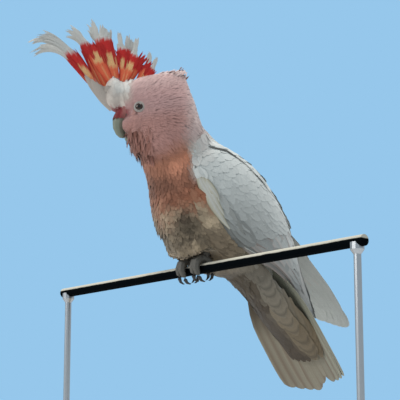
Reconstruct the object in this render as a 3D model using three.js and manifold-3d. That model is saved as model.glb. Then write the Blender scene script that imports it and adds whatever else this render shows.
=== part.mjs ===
// A pink cockatoo, life size, perched on a short length of wire that a flat stand holds up.
// Row frame: millimetres, +Z up, origin at the centre of the base's underside, the wire along X.
import * as THREE from "three";
import { mergeVertices } from "three/addons/utils/BufferGeometryUtils.js";
import Module from "manifold-3d";

const wasm = await Module();
wasm.setup();

// ---- Driving dimensions, in millimetres and degrees ----
const GAP = 0.3; // clearance between neighbouring solids
const DEG = Math.PI / 180;

const PERCH_HEIGHT = 225; // wire centre above the floor
const WIRE_RADIUS = 5.2;
const WIRE_LENGTH = 462;

const BASE = { length: 470, width: 170, thickness: 12, corner: 26, bevel: 1.5 };
const ROD = { radius: 3.5, at: 222, flangeRadius: 12, flangeHeight: 3, headRadius: 6.5, headHeight: 7 };

const BIRD_YAW = 2; // how far the bird faces to its own right of square to the wire
const BODY_PITCH = 53.7; // body axis above the horizontal
const HEAD_CENTRE = { forward: 50.8, up: 158.9 }; // from the wire's centre
const HEAD_YAW = 33; // head turned to the bird's right of the body

const TAIL = {
  pairs: 6,
  root: 196,
  dorsal: 19,
  length: 156,
  outerShort: 16,
  leftShort: 9,
  parting: 14,
  lobe: 5,
  fan: 1.5,
  half: 45,
  shift: 8,
  lap: 1.2,
  thickness: 1.6,
};
const CREST = { width: 14, splay: 11, curl: 6, frontCurl: 14, thickness: 0.8 };
const EYE = { radius: 5.2, forward: 16, side: 19.6, up: -5.2 };
const FOOT = { spacing: 23, toeRadius: 3.8, tarsusRadius: 4.4, splay: 3.4 };

// ---- Frames: the bird stands at the wire's centre, x forward, y left, z up ----
const pitch = BODY_PITCH * DEG;
const yaw = HEAD_YAW * DEG;

// A point by its distance aft of the head's centre along the body axis, and its dorsal and left offsets.
function torso(aft, dorsal, left) {
  return new THREE.Vector3(
    HEAD_CENTRE.forward - aft * Math.cos(pitch) - dorsal * Math.sin(pitch),
    left,
    HEAD_CENTRE.up - aft * Math.sin(pitch) + dorsal * Math.cos(pitch),
  );
}

// A point in the turned head's own frame, from the head's centre.
function head(forward, left, up) {
  return new THREE.Vector3(
    HEAD_CENTRE.forward + forward * Math.cos(yaw) + left * Math.sin(yaw),
    -forward * Math.sin(yaw) + left * Math.cos(yaw),
    HEAD_CENTRE.up + up,
  );
}

// ---- Solids and shapes ----
function solid(geometry) {
  const bare = geometry.clone();
  for (const name of Object.keys(bare.attributes)) {
    if (name !== "position") bare.deleteAttribute(name);
  }
  const merged = mergeVertices(bare, 1e-4);
  const triVerts = new Uint32Array(merged.index.array);
  const vertProperties = new Float32Array(merged.attributes.position.array);
  const made = new wasm.Manifold(new wasm.Mesh({ numProp: 3, vertProperties, triVerts }));
  if (made.volume() >= 0) return made;
  for (let i = 0; i < triVerts.length; i += 3) {
    [triVerts[i + 1], triVerts[i + 2]] = [triVerts[i + 2], triVerts[i + 1]];
  }
  return new wasm.Manifold(new wasm.Mesh({ numProp: 3, vertProperties, triVerts }));
}

const union = (solids) => solids.reduce((all, one) => all.add(one));

function geometryOf(manifold) {
  const { vertProperties, triVerts } = manifold.getMesh();
  const geometry = new THREE.BufferGeometry();
  geometry.setAttribute("position", new THREE.BufferAttribute(new Float32Array(vertProperties), 3));
  geometry.setIndex(new THREE.BufferAttribute(new Uint32Array(triVerts), 1));
  return geometry;
}

// The largest body of a cut solid, without slivers.
function whole(manifold) {
  return manifold.decompose().reduce((a, b) => (a.volume() > b.volume() ? a : b));
}

// Rows of numbers as smooth functions of their first column.
function table(rows) {
  const width = rows[0].length - 1;
  const at = rows.map((row) => row[0]);
  const curve = new THREE.CubicInterpolant(at, rows.flatMap((row) => row.slice(1)), width);
  return {
    start: at[0],
    end: at[at.length - 1],
    value: (t) => Array.from(curve.evaluate(THREE.MathUtils.clamp(t, at[0], at[at.length - 1]))),
  };
}

// A closed surface of rings between two poles. place(t, angle) gives the point.
function rings(start, end, ringCount, segments, place) {
  const geometry = new THREE.SphereGeometry(1, segments, ringCount);
  const position = geometry.getAttribute("position");
  for (let i = 0; i < position.count; i++) {
    const ring = Math.floor(i / (segments + 1));
    const angle = (2 * Math.PI * (i % (segments + 1) % segments)) / segments;
    const share = (1 - Math.cos((Math.PI * ring) / ringCount)) / 2;
    const t = THREE.MathUtils.lerp(start, end, 0.55 * share + (0.45 * ring) / ringCount);
    const pole = ring === 0 || ring === ringCount;
    position.setXYZ(i, ...place(t, pole ? 0 : angle, pole).toArray());
  }
  return geometry;
}

// A body lofted through rows of [aft, middle, top, bottom, half width], grown by extra.
function bodyLoft(rows, place, ringCount, segments, extra = 0) {
  const sizes = table(rows);
  return rings(sizes.start - extra, sizes.end + extra, ringCount, segments, (t, angle, pole) => {
    const [middle, top, bottom, half] = sizes.value(t);
    if (pole) return place(t, middle, 0);
    const reach = Math.cos(angle) > 0 ? top - middle : middle - bottom;
    return place(
      t,
      middle + (Math.max(reach, 0.2) + extra) * Math.cos(angle),
      (Math.max(half, 0.2) + extra) * Math.sin(angle),
    );
  });
}

// A tapering round limb along a curve. radius(u) is its radius, flat its width over its thickness.
function limb(curve, radius, ringCount, segments, flat = 1) {
  const side = new THREE.Vector3();
  const out = new THREE.Vector3();
  return rings(0, 1, ringCount, segments, (u, angle, pole) => {
    const point = curve.getPoint(u);
    if (pole) return point;
    const along = curve.getTangent(u);
    side.set(0, 1, 0).addScaledVector(along, -along.y).normalize();
    out.crossVectors(along, side);
    return point
      .addScaledVector(side, radius(u) * flat * Math.cos(angle))
      .addScaledVector(out, radius(u) * Math.sin(angle));
  });
}

// A feather: a thin cambered blade. at(u, v) gives the mid surface, v from -1 to 1 across it.
function blade(at, thickness, long = 8, wide = 2) {
  const geometry = new THREE.BoxGeometry(1, 1, 1, long, wide, 1);
  const position = geometry.getAttribute("position");
  const step = 1e-3;
  for (let i = 0; i < position.count; i++) {
    const u = position.getX(i) + 0.5;
    const v = position.getY(i) * 2;
    const here = at(u, v);
    const alongU = at(u + step, v).sub(at(u - step, v));
    const alongV = at(u, v + step).sub(at(u, v - step));
    const normal = alongU.cross(alongV).normalize();
    here.addScaledVector(normal, position.getZ(i) * thickness);
    position.setXYZ(i, ...here.toArray());
  }
  return geometry;
}

// Half the width of a rounded feather at u along it, as a share of its widest.
function featherOutline(u, tip = 0.7) {
  const root = 0.35 + 0.65 * Math.sin(Math.min(Math.max(u, 0) / 0.4, 1) * (Math.PI / 2));
  const past = Math.max(0, (u - tip) / (1 - tip));
  return root * Math.sqrt(Math.max(0.03, 1 - past ** 2.4));
}

// ---- Flesh: head and torso lofted whole, then parted by thin cuts ----
const HEAD_ROWS = [
  // down from the head's centre, middle, front, back, half width
  [-39, -24, -24, -24, 0],
  [-36, -18, -2, -30, 7],
  [-30, -6, 20, -32, 14.5],
  [-22, -3, 36, -35, 20],
  [-13, -3, 41, -38, 24],
  [-4, -4, 39, -42, 27],
  [6, -5, 33, -44, 28.5],
  [16, -6, 28, -48, 29.5],
  [26, -8, 25, -51, 30],
  [36, -11, 26, -54, 30],
  [46, -16, 21, -55, 28],
  [54, -22, 6, -50, 22],
  [60, -26, -26, -26, 0],
];
const TORSO_ROWS = [
  // aft, middle, top, bottom, half width
  [-14, -2, -2, -2, 0],
  [0, 0, 28, -28, 24],
  [20, 0, 34, -36, 28],
  [41, 0, 36, -43, 32],
  [61, 0, 42, -47, 37],
  [82, 0, 54, -56, 43],
  [102, 0, 62, -62, 46.5],
  [118, 0, 66, -63.5, 47],
  [134, 0, 67, -63, 46.5],
  [153, 2, 65, -57, 43],
  [165, 4, 62, -48, 39],
  [175, 7, 58, -36, 34],
  [184, 10, 53, -24, 30],
  [194, 13, 46, -13, 27],
  [204, 16, 38, -4, 24],
  [214, 18, 30, 6, 17],
  [220, 18, 18, 18, 0],
];
const COVERT_ROWS = [
  [160, 2, 2, 2, 0],
  [184, 5, 20, -20, 23],
  [205, 6, 16, -14, 27],
  [225, 8, 16, -9, 30],
  [250, 10, 15.6, -3, 31],
  [275, 13, 15.4, 4, 26],
  [292, 14, 15.2, 10, 17],
  [302, 15, 15, 15, 0],
];
const headPlace = (down, forward, left) => head(forward, left, -down);
const CHEEK = { forward: 14, side: 12, up: -21, radii: [20, 12, 15] };
function cheek(side, extra) {
  const geometry = new THREE.SphereGeometry(1, 10, 7);
  geometry.rotateX(Math.PI / 2);
  const [long, wide, tall] = CHEEK.radii;
  geometry.scale(long + extra, wide + extra, tall + extra);
  geometry.rotateZ(-yaw);
  const centre = head(CHEEK.forward, side * CHEEK.side, CHEEK.up);
  return solid(geometry.translate(centre.x, centre.y, centre.z));
}
const headLoft = (extra) =>
  union([solid(bodyLoft(HEAD_ROWS, headPlace, 14, 20, extra)), cheek(1, extra), cheek(-1, extra)]);
const torsoLoft = (extra) => solid(bodyLoft(TORSO_ROWS, torso, 17, 22, extra));
const shift = (aft) => TAIL.shift * THREE.MathUtils.smoothstep(aft, 180, 240);
const rearPlace = (aft, dorsal, left) => torso(aft, dorsal, left + shift(aft));
const covertLoft = (extra) => solid(bodyLoft(COVERT_ROWS, rearPlace, 9, 14, extra));

const THIGH = { forward: 3, side: 18, up: 28, radii: [20, 15, 21] };
function thighShape(side, extra) {
  const geometry = new THREE.SphereGeometry(1, 12, 9);
  const [long, wide, tall] = THIGH.radii;
  geometry.scale(long + extra, wide + extra, tall + extra);
  geometry.rotateY(0.3);
  geometry.translate(THIGH.forward, side * THIGH.side, THIGH.up);
  return solid(geometry);
}

// A slab of the body between two distances aft, as a cutting block.
function slab(from, to) {
  const block = new THREE.BoxGeometry(to - from, 300, 300);
  block.rotateY(-pitch);
  const centre = torso((from + to) / 2, 0, 0);
  block.translate(centre.x, centre.y, centre.z);
  return solid(block);
}

const CUTS = { neck: 42, trunk: 66 }; // where the head meets the neck, and the neck the trunk
const flesh = headLoft(0).add(torsoLoft(0));
const fleshTool = union([flesh, headLoft(2 * GAP), torsoLoft(2 * GAP)]);

// ---- Bill ----
const billCurve = new THREE.CatmullRomCurve3([
  head(20, 0, -8),
  head(28, 0, -9),
  head(34, 0, -15.5),
  head(35, 0, -23),
  head(31, 0, -32),
]);
const billTaper = (u, power) => Math.sqrt(Math.max(0, 1 - u ** power));
const upperBill = (extra) =>
  solid(limb(billCurve, (u) => (10.2 + extra) * (1 - 0.12 * u) * billTaper(u, 2.2) + 0.3, 9, 10, 0.85));
const lowerBillCurve = new THREE.CatmullRomCurve3([
  head(14, 0, -24),
  head(24, 0, -29),
  head(31, 0, -30),
]);
const lowerBill = (extra) =>
  solid(limb(lowerBillCurve, (u) => (7.5 + extra) * billTaper(u, 3) + 0.3, 6, 10, 1.05));

// ---- Eyes ----
function eyeShape(side, extra) {
  const geometry = new THREE.SphereGeometry(EYE.radius + extra, 10, 8);
  geometry.rotateX(Math.PI / 2);
  const centre = head(EYE.forward, side * EYE.side, EYE.up);
  geometry.translate(centre.x, centre.y, centre.z);
  return solid(geometry);
}

// ---- Wings: a plate that curves round the body's side and ends in lobed flight feathers ----
// Rows of [aft, dorsal reach, side reach, lower edge, upper edge, thickness]; edges in degrees from dorsal.
const WING = { feathers: 5, lobe: 6, edge: 1 };
const TIP_SLANT = { left: 22, right: 14 };
const LEFT_WING_ROWS = [
  [50, 37, 36, 98, 84, 2],
  [58, 44, 42, 116, 62, 9],
  [70, 49, 47.5, 121, 48, 13],
  [91, 60, 53, 121, 33, 14],
  [115, 69, 55, 119, 25, 16],
  [140, 72, 54, 116, 19, 16],
  [160, 73, 52, 109, 15, 15],
  [181, 72, 49, 96, 12, 12],
  [200, 67, 45, 82, 13, 8],
  [214, 64, 42, 74, 16, 6],
  [235, 58, 40, 67, 20, 4],
  [258, 53, 38, 61, 25, 2.6],
  [280, 50, 37, 56, 30, 1.6],
];
const RIGHT_WING_ROWS = [
  [50, 37, 36, 98, 84, 2],
  [58, 44, 42, 116, 62, 9],
  [70, 49, 47.5, 121, 48, 13],
  [91, 60, 53, 121, 33, 14],
  [115, 69, 55, 119, 25, 16],
  [140, 72, 54, 116, 18, 16],
  [160, 73, 52, 108, 9, 15],
  [181, 75, 49, 88, -3, 11],
  [200, 77, 48, 62, -13, 7],
  [214, 78, 49, 50, -18, 5],
  [235, 80, 52, 38, -22, 3.6],
  [258, 83, 55, 31, -28, 2.6],
  [282, 83, 58, 22, -32, 2],
  [314, 79, 60, 12, -31, 1.6],
];
// How far each feather falls short at w across the wing, from its lower edge to its upper.
function lobes(w, count, depth) {
  const within = Math.abs(((w * count) % 1) * 2 - 1);
  return depth * within ** 3;
}
function wingPlate(rows, side, extra = 0) {
  const sizes = table(rows);
  const geometry = new THREE.BoxGeometry(1, 1, 1, 12, 2 * WING.feathers, 1);
  const position = geometry.getAttribute("position");
  for (let i = 0; i < position.count; i++) {
    const u = position.getX(i) + 0.5;
    const w = position.getY(i) + 0.5;
    const face = position.getZ(i) + 0.5;
    const slant = side > 0 ? TIP_SLANT.left : TIP_SLANT.right;
    const end = sizes.end - slant * (2 * w - 1) ** 2 - lobes(w, WING.feathers, WING.lobe);
    const t = THREE.MathUtils.lerp(sizes.start - extra, end + extra, u ** 1.1);
    const [dorsal, lateral, low, high, thick] = sizes.value(t);
    const theta = THREE.MathUtils.lerp(low, high, w) * DEG + (extra / 40) * (1 - 2 * w);
    const full = Math.min(1, 1.6 * Math.sqrt(Math.max(0, w * (1 - w) * 4)));
    const inset = face > 0.5 ? -extra : (thick - WING.edge) * full + WING.edge + extra;
    const bulge = (thick / 4) * (full - 1);
    const out = bulge - inset;
    position.setXYZ(
      i,
      ...torso(t, (dorsal + out) * Math.cos(theta), side * (lateral + out) * Math.sin(theta)).toArray(),
    );
  }
  return solid(geometry);
}

// ---- Tail: a shallow fan of overlapping feathers, parted a little at the middle ----
function tailFan(extra = 0) {
  const geometry = new THREE.BoxGeometry(1, 1, 1, 4, 6 * TAIL.pairs, 1);
  const position = geometry.getAttribute("position");
  for (let i = 0; i < position.count; i++) {
    const u = position.getX(i) + 0.5;
    const w = position.getY(i) + 0.5;
    const share = 2 * w - 1;
    const parting = TAIL.parting * Math.max(0, 1 - Math.abs(share) * TAIL.pairs * 0.75);
    const shorter = TAIL.outerShort * share ** 2 + TAIL.leftShort * (share > 0 ? 1 : 0);
    const short = shorter + lobes(w, 2 * TAIL.pairs, TAIL.lobe) + parting;
    const along = u * (TAIL.length - short + extra);
    const half = TAIL.half * (0.6 + 0.4 * THREE.MathUtils.smoothstep(along, 0, 70));
    const left = along * Math.sin(share * TAIL.fan * DEG) + share * half;
    const lap = TAIL.lap * ((Math.abs(share) * TAIL.pairs) % 1);
    const height = TAIL.dorsal - 0.004 * left * left + lap + position.getZ(i) * (TAIL.thickness + 2 * extra);
    const aft = TAIL.root + along * Math.cos(share * TAIL.fan * DEG);
    position.setXYZ(i, ...rearPlace(aft, height, left).toArray());
  }
  return solid(geometry);
}

// ---- Crest: a raised fan, long and curling forward in front, short behind ----
// The root line runs from the front feather to the last, as forward and up from the head's centre.
const crestRoots = new THREE.CatmullRomCurve3(
  [[45, 2], [41, 17], [20, 28], [-6, 31]].map(([forward, up]) => new THREE.Vector3(forward, 0, up)),
);
// Each feather's place along the root line, then its tip's forward and up.
const CREST_FEATHERS = [
  [0, 123, 57],
  [0.03, 117, 65],
  [0.06, 109, 72],
  [0.16, 94, 79],
  [0.2, 86, 84],
  [0.31, 70, 89],
  [0.42, 54, 84],
  [0.48, 45, 77],
  [0.6, 36, 78],
  [0.68, 27, 75],
  [0.76, 20, 69],
  [0.87, 8, 62],
  [0.95, 1, 55],
];
function crestFeather(index) {
  const [share, forward, up] = CREST_FEATHERS[index];
  const root = crestRoots.getPoint(share);
  const side = index === 0 ? 0 : index % 2 ? 1 : -1;
  const span = new THREE.Vector3(forward, 0, up).sub(root);
  const width = CREST.width * (0.6 + 0.4 * Math.sin(Math.PI * Math.min(1, share + 0.15)));
  const bow = CREST.curl * (1 - share) ** 1.5 + CREST.frontCurl * Math.exp(-share / 0.1);
  const rise = new THREE.Vector3(-span.z, 0, span.x).normalize();
  return solid(
    blade((u, v) => {
      const across = v * (width / 2) * featherOutline(u, 0.72);
      const lift = bow * Math.sin(Math.PI * Math.max(u, 0) ** 1.35);
      const point = root.clone().addScaledVector(span, u).addScaledVector(rise, lift + across);
      const left = side * (CREST.splay * Math.max(u, 0) ** 1.5 + 0.3 * across + 1);
      return head(point.x, left, point.z);
    }, CREST.thickness, 5, 1),
  );
}
const CREST_RIDGE = [[38, 0], [48, 10], [50, 21], [37, 30], [20, 33.5], [-6, 37]];
const crestBase = solid(
  limb(
    new THREE.CatmullRomCurve3(CREST_RIDGE.map(([forward, up]) => head(forward, 0, up))),
    (u) => (9.5 - 5.5 * u) * Math.sqrt(1 - u ** 5) + 0.4,
    8,
    7,
  ),
);

// ---- Legs and feet: two toes over the front of the wire and two behind, each with its claw ----
const grip = WIRE_RADIUS + GAP + FOOT.toeRadius;
const GRASP = grip + 1.6 * FOOT.toeRadius + GAP; // the belly and thighs stay this far from the wire's centre
// A point around the wire: 0 degrees is on top, positive turns over the front.
function aroundWire(along, degrees, radius) {
  const a = degrees * DEG;
  return new THREE.Vector3(radius * Math.sin(a), along, radius * Math.cos(a));
}
function toeCurve(side, toe) {
  const points = [];
  for (let i = 0; i <= 6; i++) {
    const u = i / 6;
    const along = side * FOOT.spacing * 0.5 + toe.spread * (0.35 + 0.65 * u);
    points.push(aroundWire(along, toe.way * toe.wrap * u, grip + 1.6 * (1 - u)));
  }
  return new THREE.CatmullRomCurve3(points);
}
const TOES = [
  { name: "inner_front", way: 1, spread: -FOOT.splay, wrap: 132 },
  { name: "outer_front", way: 1, spread: FOOT.splay, wrap: 146 },
  { name: "inner_back", way: -1, spread: -FOOT.splay - 0.4, wrap: 104 },
  { name: "outer_back", way: -1, spread: FOOT.splay + 0.4, wrap: 116 },
];
const toeRadius = (u) => FOOT.toeRadius * (1.08 - 0.2 * u) * Math.sqrt(Math.max(0, 1 - u ** 6)) + 0.2;
function clawCurve(side, toe) {
  const along = side * FOOT.spacing * 0.5 + toe.spread;
  const points = [];
  for (let i = 0; i <= 4; i++) {
    const u = i / 4;
    points.push(aroundWire(along, toe.way * (toe.wrap - 8 + 52 * u), grip + 0.6 + 3.4 * Math.sin(u * 2.2)));
  }
  return new THREE.CatmullRomCurve3(points);
}
const clawRadius = (u) => 2.1 * (1 - u ** 1.4) + 0.25;

function shank(side, extra) {
  const ankle = new THREE.Vector3(-1.5, side * FOOT.spacing * 0.5, grip + 2);
  const bend = new THREE.Vector3(-6, side * (FOOT.spacing * 0.5 + 1), grip + 10);
  const knee = new THREE.Vector3(-9, side * (FOOT.spacing * 0.5 + 2), grip + 20);
  const curve = new THREE.CatmullRomCurve3([ankle, bend, knee]);
  const pad = new THREE.SphereGeometry(1, 10, 6);
  pad.scale(6.2 + extra, 5.4 + extra, 4.4 + extra);
  pad.translate(0, side * FOOT.spacing * 0.5, grip + 1.4);
  return solid(limb(curve, () => FOOT.tarsusRadius + extra, 5, 8)).add(solid(pad));
}
const toes = (side, extra) =>
  union(TOES.map((toe) => solid(limb(toeCurve(side, toe), (u) => toeRadius(u) + extra, 5, 6))));

// ---- Perch and stand ----
function wire(extra = 0) {
  const radius = WIRE_RADIUS + extra;
  const length = WIRE_LENGTH + 2 * extra;
  return new THREE.CylinderGeometry(radius, radius, length, 24).rotateZ(Math.PI / 2);
}
function standBase() {
  const { length, width, thickness, corner, bevel } = BASE;
  const [x, y] = [length / 2 - bevel, width / 2 - bevel];
  const outline = new THREE.Shape();
  outline.moveTo(-x + corner, -y);
  outline.lineTo(x - corner, -y);
  outline.absarc(x - corner, -y + corner, corner, -Math.PI / 2, 0);
  outline.absarc(x - corner, y - corner, corner, 0, Math.PI / 2);
  outline.absarc(-x + corner, y - corner, corner, Math.PI / 2, Math.PI);
  outline.absarc(-x + corner, -y + corner, corner, Math.PI, 1.5 * Math.PI);
  const geometry = new THREE.ExtrudeGeometry(outline, {
    depth: thickness - 2 * bevel,
    bevelThickness: bevel,
    bevelSize: bevel,
    bevelSegments: 1,
    curveSegments: 3,
  });
  return geometry.translate(0, 0, bevel);
}
function standRod() {
  const { radius, flangeRadius, flangeHeight, headRadius, headHeight } = ROD;
  const foot = BASE.thickness + GAP;
  const top = PERCH_HEIGHT - 1;
  const profile = [
    [0, foot],
    [flangeRadius, foot],
    [flangeRadius, foot + flangeHeight * 0.5],
    [radius, foot + flangeHeight * 1.4],
    [radius, top - headHeight * 1.5],
    [headRadius, top - headHeight * 0.9],
    [headRadius, top],
    [0, top],
  ].map(([r, z]) => new THREE.Vector2(r, z));
  return solid(new THREE.LatheGeometry(profile, 12).rotateX(Math.PI / 2));
}

// ---- Finishes ----
const finish = (color, roughness = 0.8, metalness = 0) =>
  new THREE.MeshStandardMaterial({ color, roughness, metalness });
const FINISH = {
  pink: finish("#c9a09a"),
  salmon: finish("#b9806a"),
  white: finish("#d3d6d4"),
  buff: finish("#a39a88"),
  crest: finish("#d4543c"),
  horn: finish("#b3b3a4", 0.45),
  eye: finish("#17120f", 0.08),
  foot: finish("#55534e", 0.75),
  claw: finish("#2b2b2b", 0.4),
  wire: finish("#1b1d20", 0.5),
  steel: finish("#9a9c9e", 0.35, 0.9),
  wood: finish("#d9d4c8", 0.6),
};

function node(name, shape, material) {
  const geometry = shape.isBufferGeometry ? shape : geometryOf(whole(shape));
  const mesh = new THREE.Mesh(geometry, material);
  mesh.name = name;
  return mesh;
}

// The far side of the body's middle, as a cutting block.
function middleCut(side) {
  const block = new THREE.BoxGeometry(120, 60, 120);
  return solid(block.translate(0, -side * (30 - GAP), 30));
}

// ---- Assembly ----
const bird = new THREE.Group();
bird.position.set(0, 0, PERCH_HEIGHT);
bird.rotation.z = -(90 + BIRD_YAW) * DEG;

const wireTool = solid(wire(GAP).rotateZ(-bird.rotation.z));
const grasped = new THREE.CylinderGeometry(GRASP, GRASP, WIRE_LENGTH, 16);
const hollow = solid(grasped.rotateZ(Math.PI / 2 - bird.rotation.z));
const billTools = union([upperBill(0), upperBill(3 * GAP), lowerBill(2 * GAP)]);
const eyeTools = eyeShape(1, GAP).add(eyeShape(-1, GAP));
const headZone = slab(-80, CUTS.neck);
const neckZone = slab(CUTS.neck + GAP, CUTS.trunk);
const trunkZone = slab(CUTS.trunk + GAP, 240);

bird.add(node("head", flesh.intersect(headZone).subtract(billTools).subtract(eyeTools), FINISH.pink));
bird.add(node("neck", flesh.intersect(neckZone), FINISH.pink));
bird.add(node("upper_bill", upperBill(0), FINISH.horn));
bird.add(node("lower_bill", lowerBill(0).subtract(upperBill(0)).subtract(upperBill(3 * GAP)), FINISH.horn));

bird.add(node("tail", tailFan().subtract(fleshTool), FINISH.white));
bird.add(node("undertail_coverts", covertLoft(0).subtract(fleshTool).subtract(tailFan(GAP)), FINISH.buff));

const crestFeathers = [];
for (let i = 0; i < CREST_FEATHERS.length; i++) crestFeathers.push(crestFeather(i));
const crest = union([crestBase, ...crestFeathers]);
bird.add(node("crest", crest.subtract(fleshTool).subtract(billTools), FINISH.crest));

bird.add(node("left_wing", wingPlate(LEFT_WING_ROWS, 1).subtract(fleshTool), FINISH.white));
const leftWingTool = wingPlate(LEFT_WING_ROWS, 1, GAP);
const rightWing = wingPlate(RIGHT_WING_ROWS, -1).subtract(fleshTool).subtract(leftWingTool);
bird.add(node("right_wing", rightWing, FINISH.white));

let trunk = flesh.intersect(trunkZone).subtract(hollow);
for (const side of [1, -1]) {
  const name = side > 0 ? "left" : "right";
  bird.add(node(`${name}_eye`, eyeShape(side, 0), FINISH.eye));
  bird.add(node(`${name}_foot`, shank(side, 0).add(toes(side, 0)).subtract(wireTool), FINISH.foot));
  const toeTool = toes(side, 2 * GAP);
  for (const toe of TOES) {
    const claw = solid(limb(clawCurve(side, toe), clawRadius, 4, 5));
    bird.add(node(`${name}_claw_${toe.name}`, claw.subtract(toeTool), FINISH.claw));
  }
  const shankTool = shank(side, 2 * GAP);
  const thigh = thighShape(side, 0).subtract(fleshTool).subtract(shankTool).subtract(hollow);
  bird.add(node(`${name}_thigh`, thigh.subtract(middleCut(side)), FINISH.buff));
  trunk = trunk.subtract(shankTool);
}
bird.add(node("trunk", trunk, FINISH.salmon));

const stand = new THREE.Group();
const perch = node("perch_wire", wire(), FINISH.wire);
perch.position.z = PERCH_HEIGHT;
stand.add(perch);
stand.add(node("stand_base", standBase(), FINISH.wood));
const rodWireTool = solid(wire(GAP).translate(0, 0, PERCH_HEIGHT));
for (const side of [1, -1]) {
  const at = standRod().translate([side * ROD.at, 0, 0]).subtract(rodWireTool);
  stand.add(node(side > 0 ? "stand_rod_left" : "stand_rod_right", at, FINISH.steel));
}

const cockatoo = new THREE.Group();
cockatoo.add(stand, bird);
export default cockatoo;
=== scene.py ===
import itertools
import math

import bpy
import numpy as np
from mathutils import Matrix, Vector, noise
from mathutils.bvhtree import BVHTree


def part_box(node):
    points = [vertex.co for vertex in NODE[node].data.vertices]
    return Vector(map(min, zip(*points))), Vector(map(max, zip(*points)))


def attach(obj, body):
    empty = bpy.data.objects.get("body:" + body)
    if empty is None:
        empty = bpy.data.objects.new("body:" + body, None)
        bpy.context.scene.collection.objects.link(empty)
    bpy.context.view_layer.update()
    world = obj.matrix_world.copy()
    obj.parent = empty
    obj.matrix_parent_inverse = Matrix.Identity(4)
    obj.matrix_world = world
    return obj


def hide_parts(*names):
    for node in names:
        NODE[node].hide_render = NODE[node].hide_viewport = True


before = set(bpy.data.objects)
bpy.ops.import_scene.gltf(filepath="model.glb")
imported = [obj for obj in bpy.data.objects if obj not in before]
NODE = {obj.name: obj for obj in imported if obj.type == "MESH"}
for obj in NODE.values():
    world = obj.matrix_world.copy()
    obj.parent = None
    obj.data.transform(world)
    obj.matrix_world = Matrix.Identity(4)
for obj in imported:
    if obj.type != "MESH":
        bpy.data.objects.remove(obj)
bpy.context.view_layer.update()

RNG = np.random.default_rng(7)
MM = 0.001

# ---------------------------------------------------------------- driving values
PITCH = math.radians(53.7)  # body axis above the horizontal
BIRD_YAW = math.radians(-92)  # the bird's forward, from +X
HEAD_YAW = math.radians(33)  # head turned to the bird's right
HEAD_CENTRE = (50.8, 0, 158.9)  # mm from the wire's centre, in the bird's own axes
VOXEL = 1.5 * MM  # skin mesh
COAT_TRIES = 120000  # roots tried for the body's feathers; those too close together are dropped
WING_FACE = 7.5  # mm: the wing's own surface lies no deeper than this under its sheet
WING_SKIN_END = 196  # mm aft: the wings' skin stops here and the long feathers go on
FLESH_END = 284  # mm aft: past this the coverts run on straight
COAT_END = 188  # mm aft: the body's own feathers have their roots before this
MAP_LENGTH = 330  # mm aft that fill a wing's or the tail's OFBake map
TAIL = {"length": 156, "root": 196, "fan": math.radians(1.5), "half": 45, "shift": 8}
TIP_SLANT = {1: 22, -1: 14}  # how much shorter the wing's edge feathers are, left and right
BAKE_PATCH = 0.003  # side of one small feather's patch on its OFBake map

LOOK = {"azimuth": 50, "elevation": -11.5, "distance": 1.35, "lens": 121.5, "right": 0.005, "up": 0.070}  # camera

AMBIENT, BACKDROP = (0.40, 0.46, 0.50), (0.305, 0.571, 0.831)  # linear light

PALETTE = {  # plumage colours, as sRGB
    "rose_crown": "#cba8a4", "rose_head": "#c9a09c", "rose_cheek": "#c4938a", "nape": "#cbb8b4",
    # beard and throat: darker tones that paint the shade under the bill
    "beard": "#8e5e50", "throat": "#825348", "forehead": "#c9bdb3", "puff": "#cfcdc8",
    "front_band": "#933036", "upper_breast": "#ae765e", "breast": "#a4684d", "belly": "#a4937c",
    # vent_shade: the dark brown of painted shade under the tail, on the flank and at the tail's root
    "flank": "#9c9379", "wing": "#dcdfdc", "mantle": "#dcdcd6", "undertail": "#8d867a", "vent_shade": "#514538",
    "tail_feather": "#a39c8c", "wing_lining": "#c9a394", "crest_white": "#d5d4cf", "crest_red": "#cb2c2a",
    # tail_overlap_shade: painted shade where the tail feathers lap over each other
    "crest_yellow": "#ecb981", "crest_orange": "#e76a47", "alula": "#cbc4a8", "tail_overlap_shade": "#80685a",
    # slit_shadow: the colour of a painted shadow line on the wing
    "slit_shadow": "#3b3d3a", "undertail_tip": "#80735f",
}
BREAST_PAINTED_SHADE = [  # painted shade and light on the breast and belly: mm aft, mm to the side, radius, how much darker (negative: lighter, painted light)
    (67, 6, 13, 0.45), (74, 22, 8, 0.30), (86, 12, 7, 0.20), (100, 23, 8, 0.40), (111, 23, 12, 0.66),
    (121, 27, 8, 0.42), (120, 5, 11, 0.38), (131, 31, 7, 0.30), (126, 14, 8, 0.38), (56, 28, 9, -0.75),
    (124, 38, 8, -0.45), (103, 34, 6, -0.2), (138, 34, 9, 0.25),
]
WING_PAINTED_SHADE = {"left": 0.62, "right": -0.12}  # how much painted shade darkens each wing towards its tip; the right one's negative amount paints light instead
BUMP_HEIGHT = 0.3 * MM  # of every material's relief


def linear(code):
    """A hex colour as linear red, green and blue."""
    srgb = np.array([int(code[i : i + 2], 16) / 255 for i in (1, 3, 5)])
    return np.where(srgb < 0.04045, srgb / 12.92, ((srgb + 0.055) / 1.055) ** 2.4)


COLOUR = {name: linear(code) for name, code in PALETTE.items()}


def smooth(x, low, high):
    """0 below low and 1 above high, eased between them."""
    k = np.clip((np.asarray(x, float) - low) / (high - low), 0, 1)
    return k * k * (3 - 2 * k)


def mix(a, b, k):
    """Rows of a where k is 0 and of b where it is 1."""
    k = np.asarray(k, float)[..., None]
    return a * (1 - k) + b * k


def mix_value(a, b, k):
    return a + (b - a) * k


def unit(v):
    v = np.asarray(v, float)
    return v / np.maximum(np.linalg.norm(v, axis=-1, keepdims=True), 1e-12)


def blur(rows):
    """Averages each row with its two neighbours, in place; the first and last stay."""
    rows[1:-1] = (rows[:-2] + 2 * rows[1:-1] + rows[2:]) / 4


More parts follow.
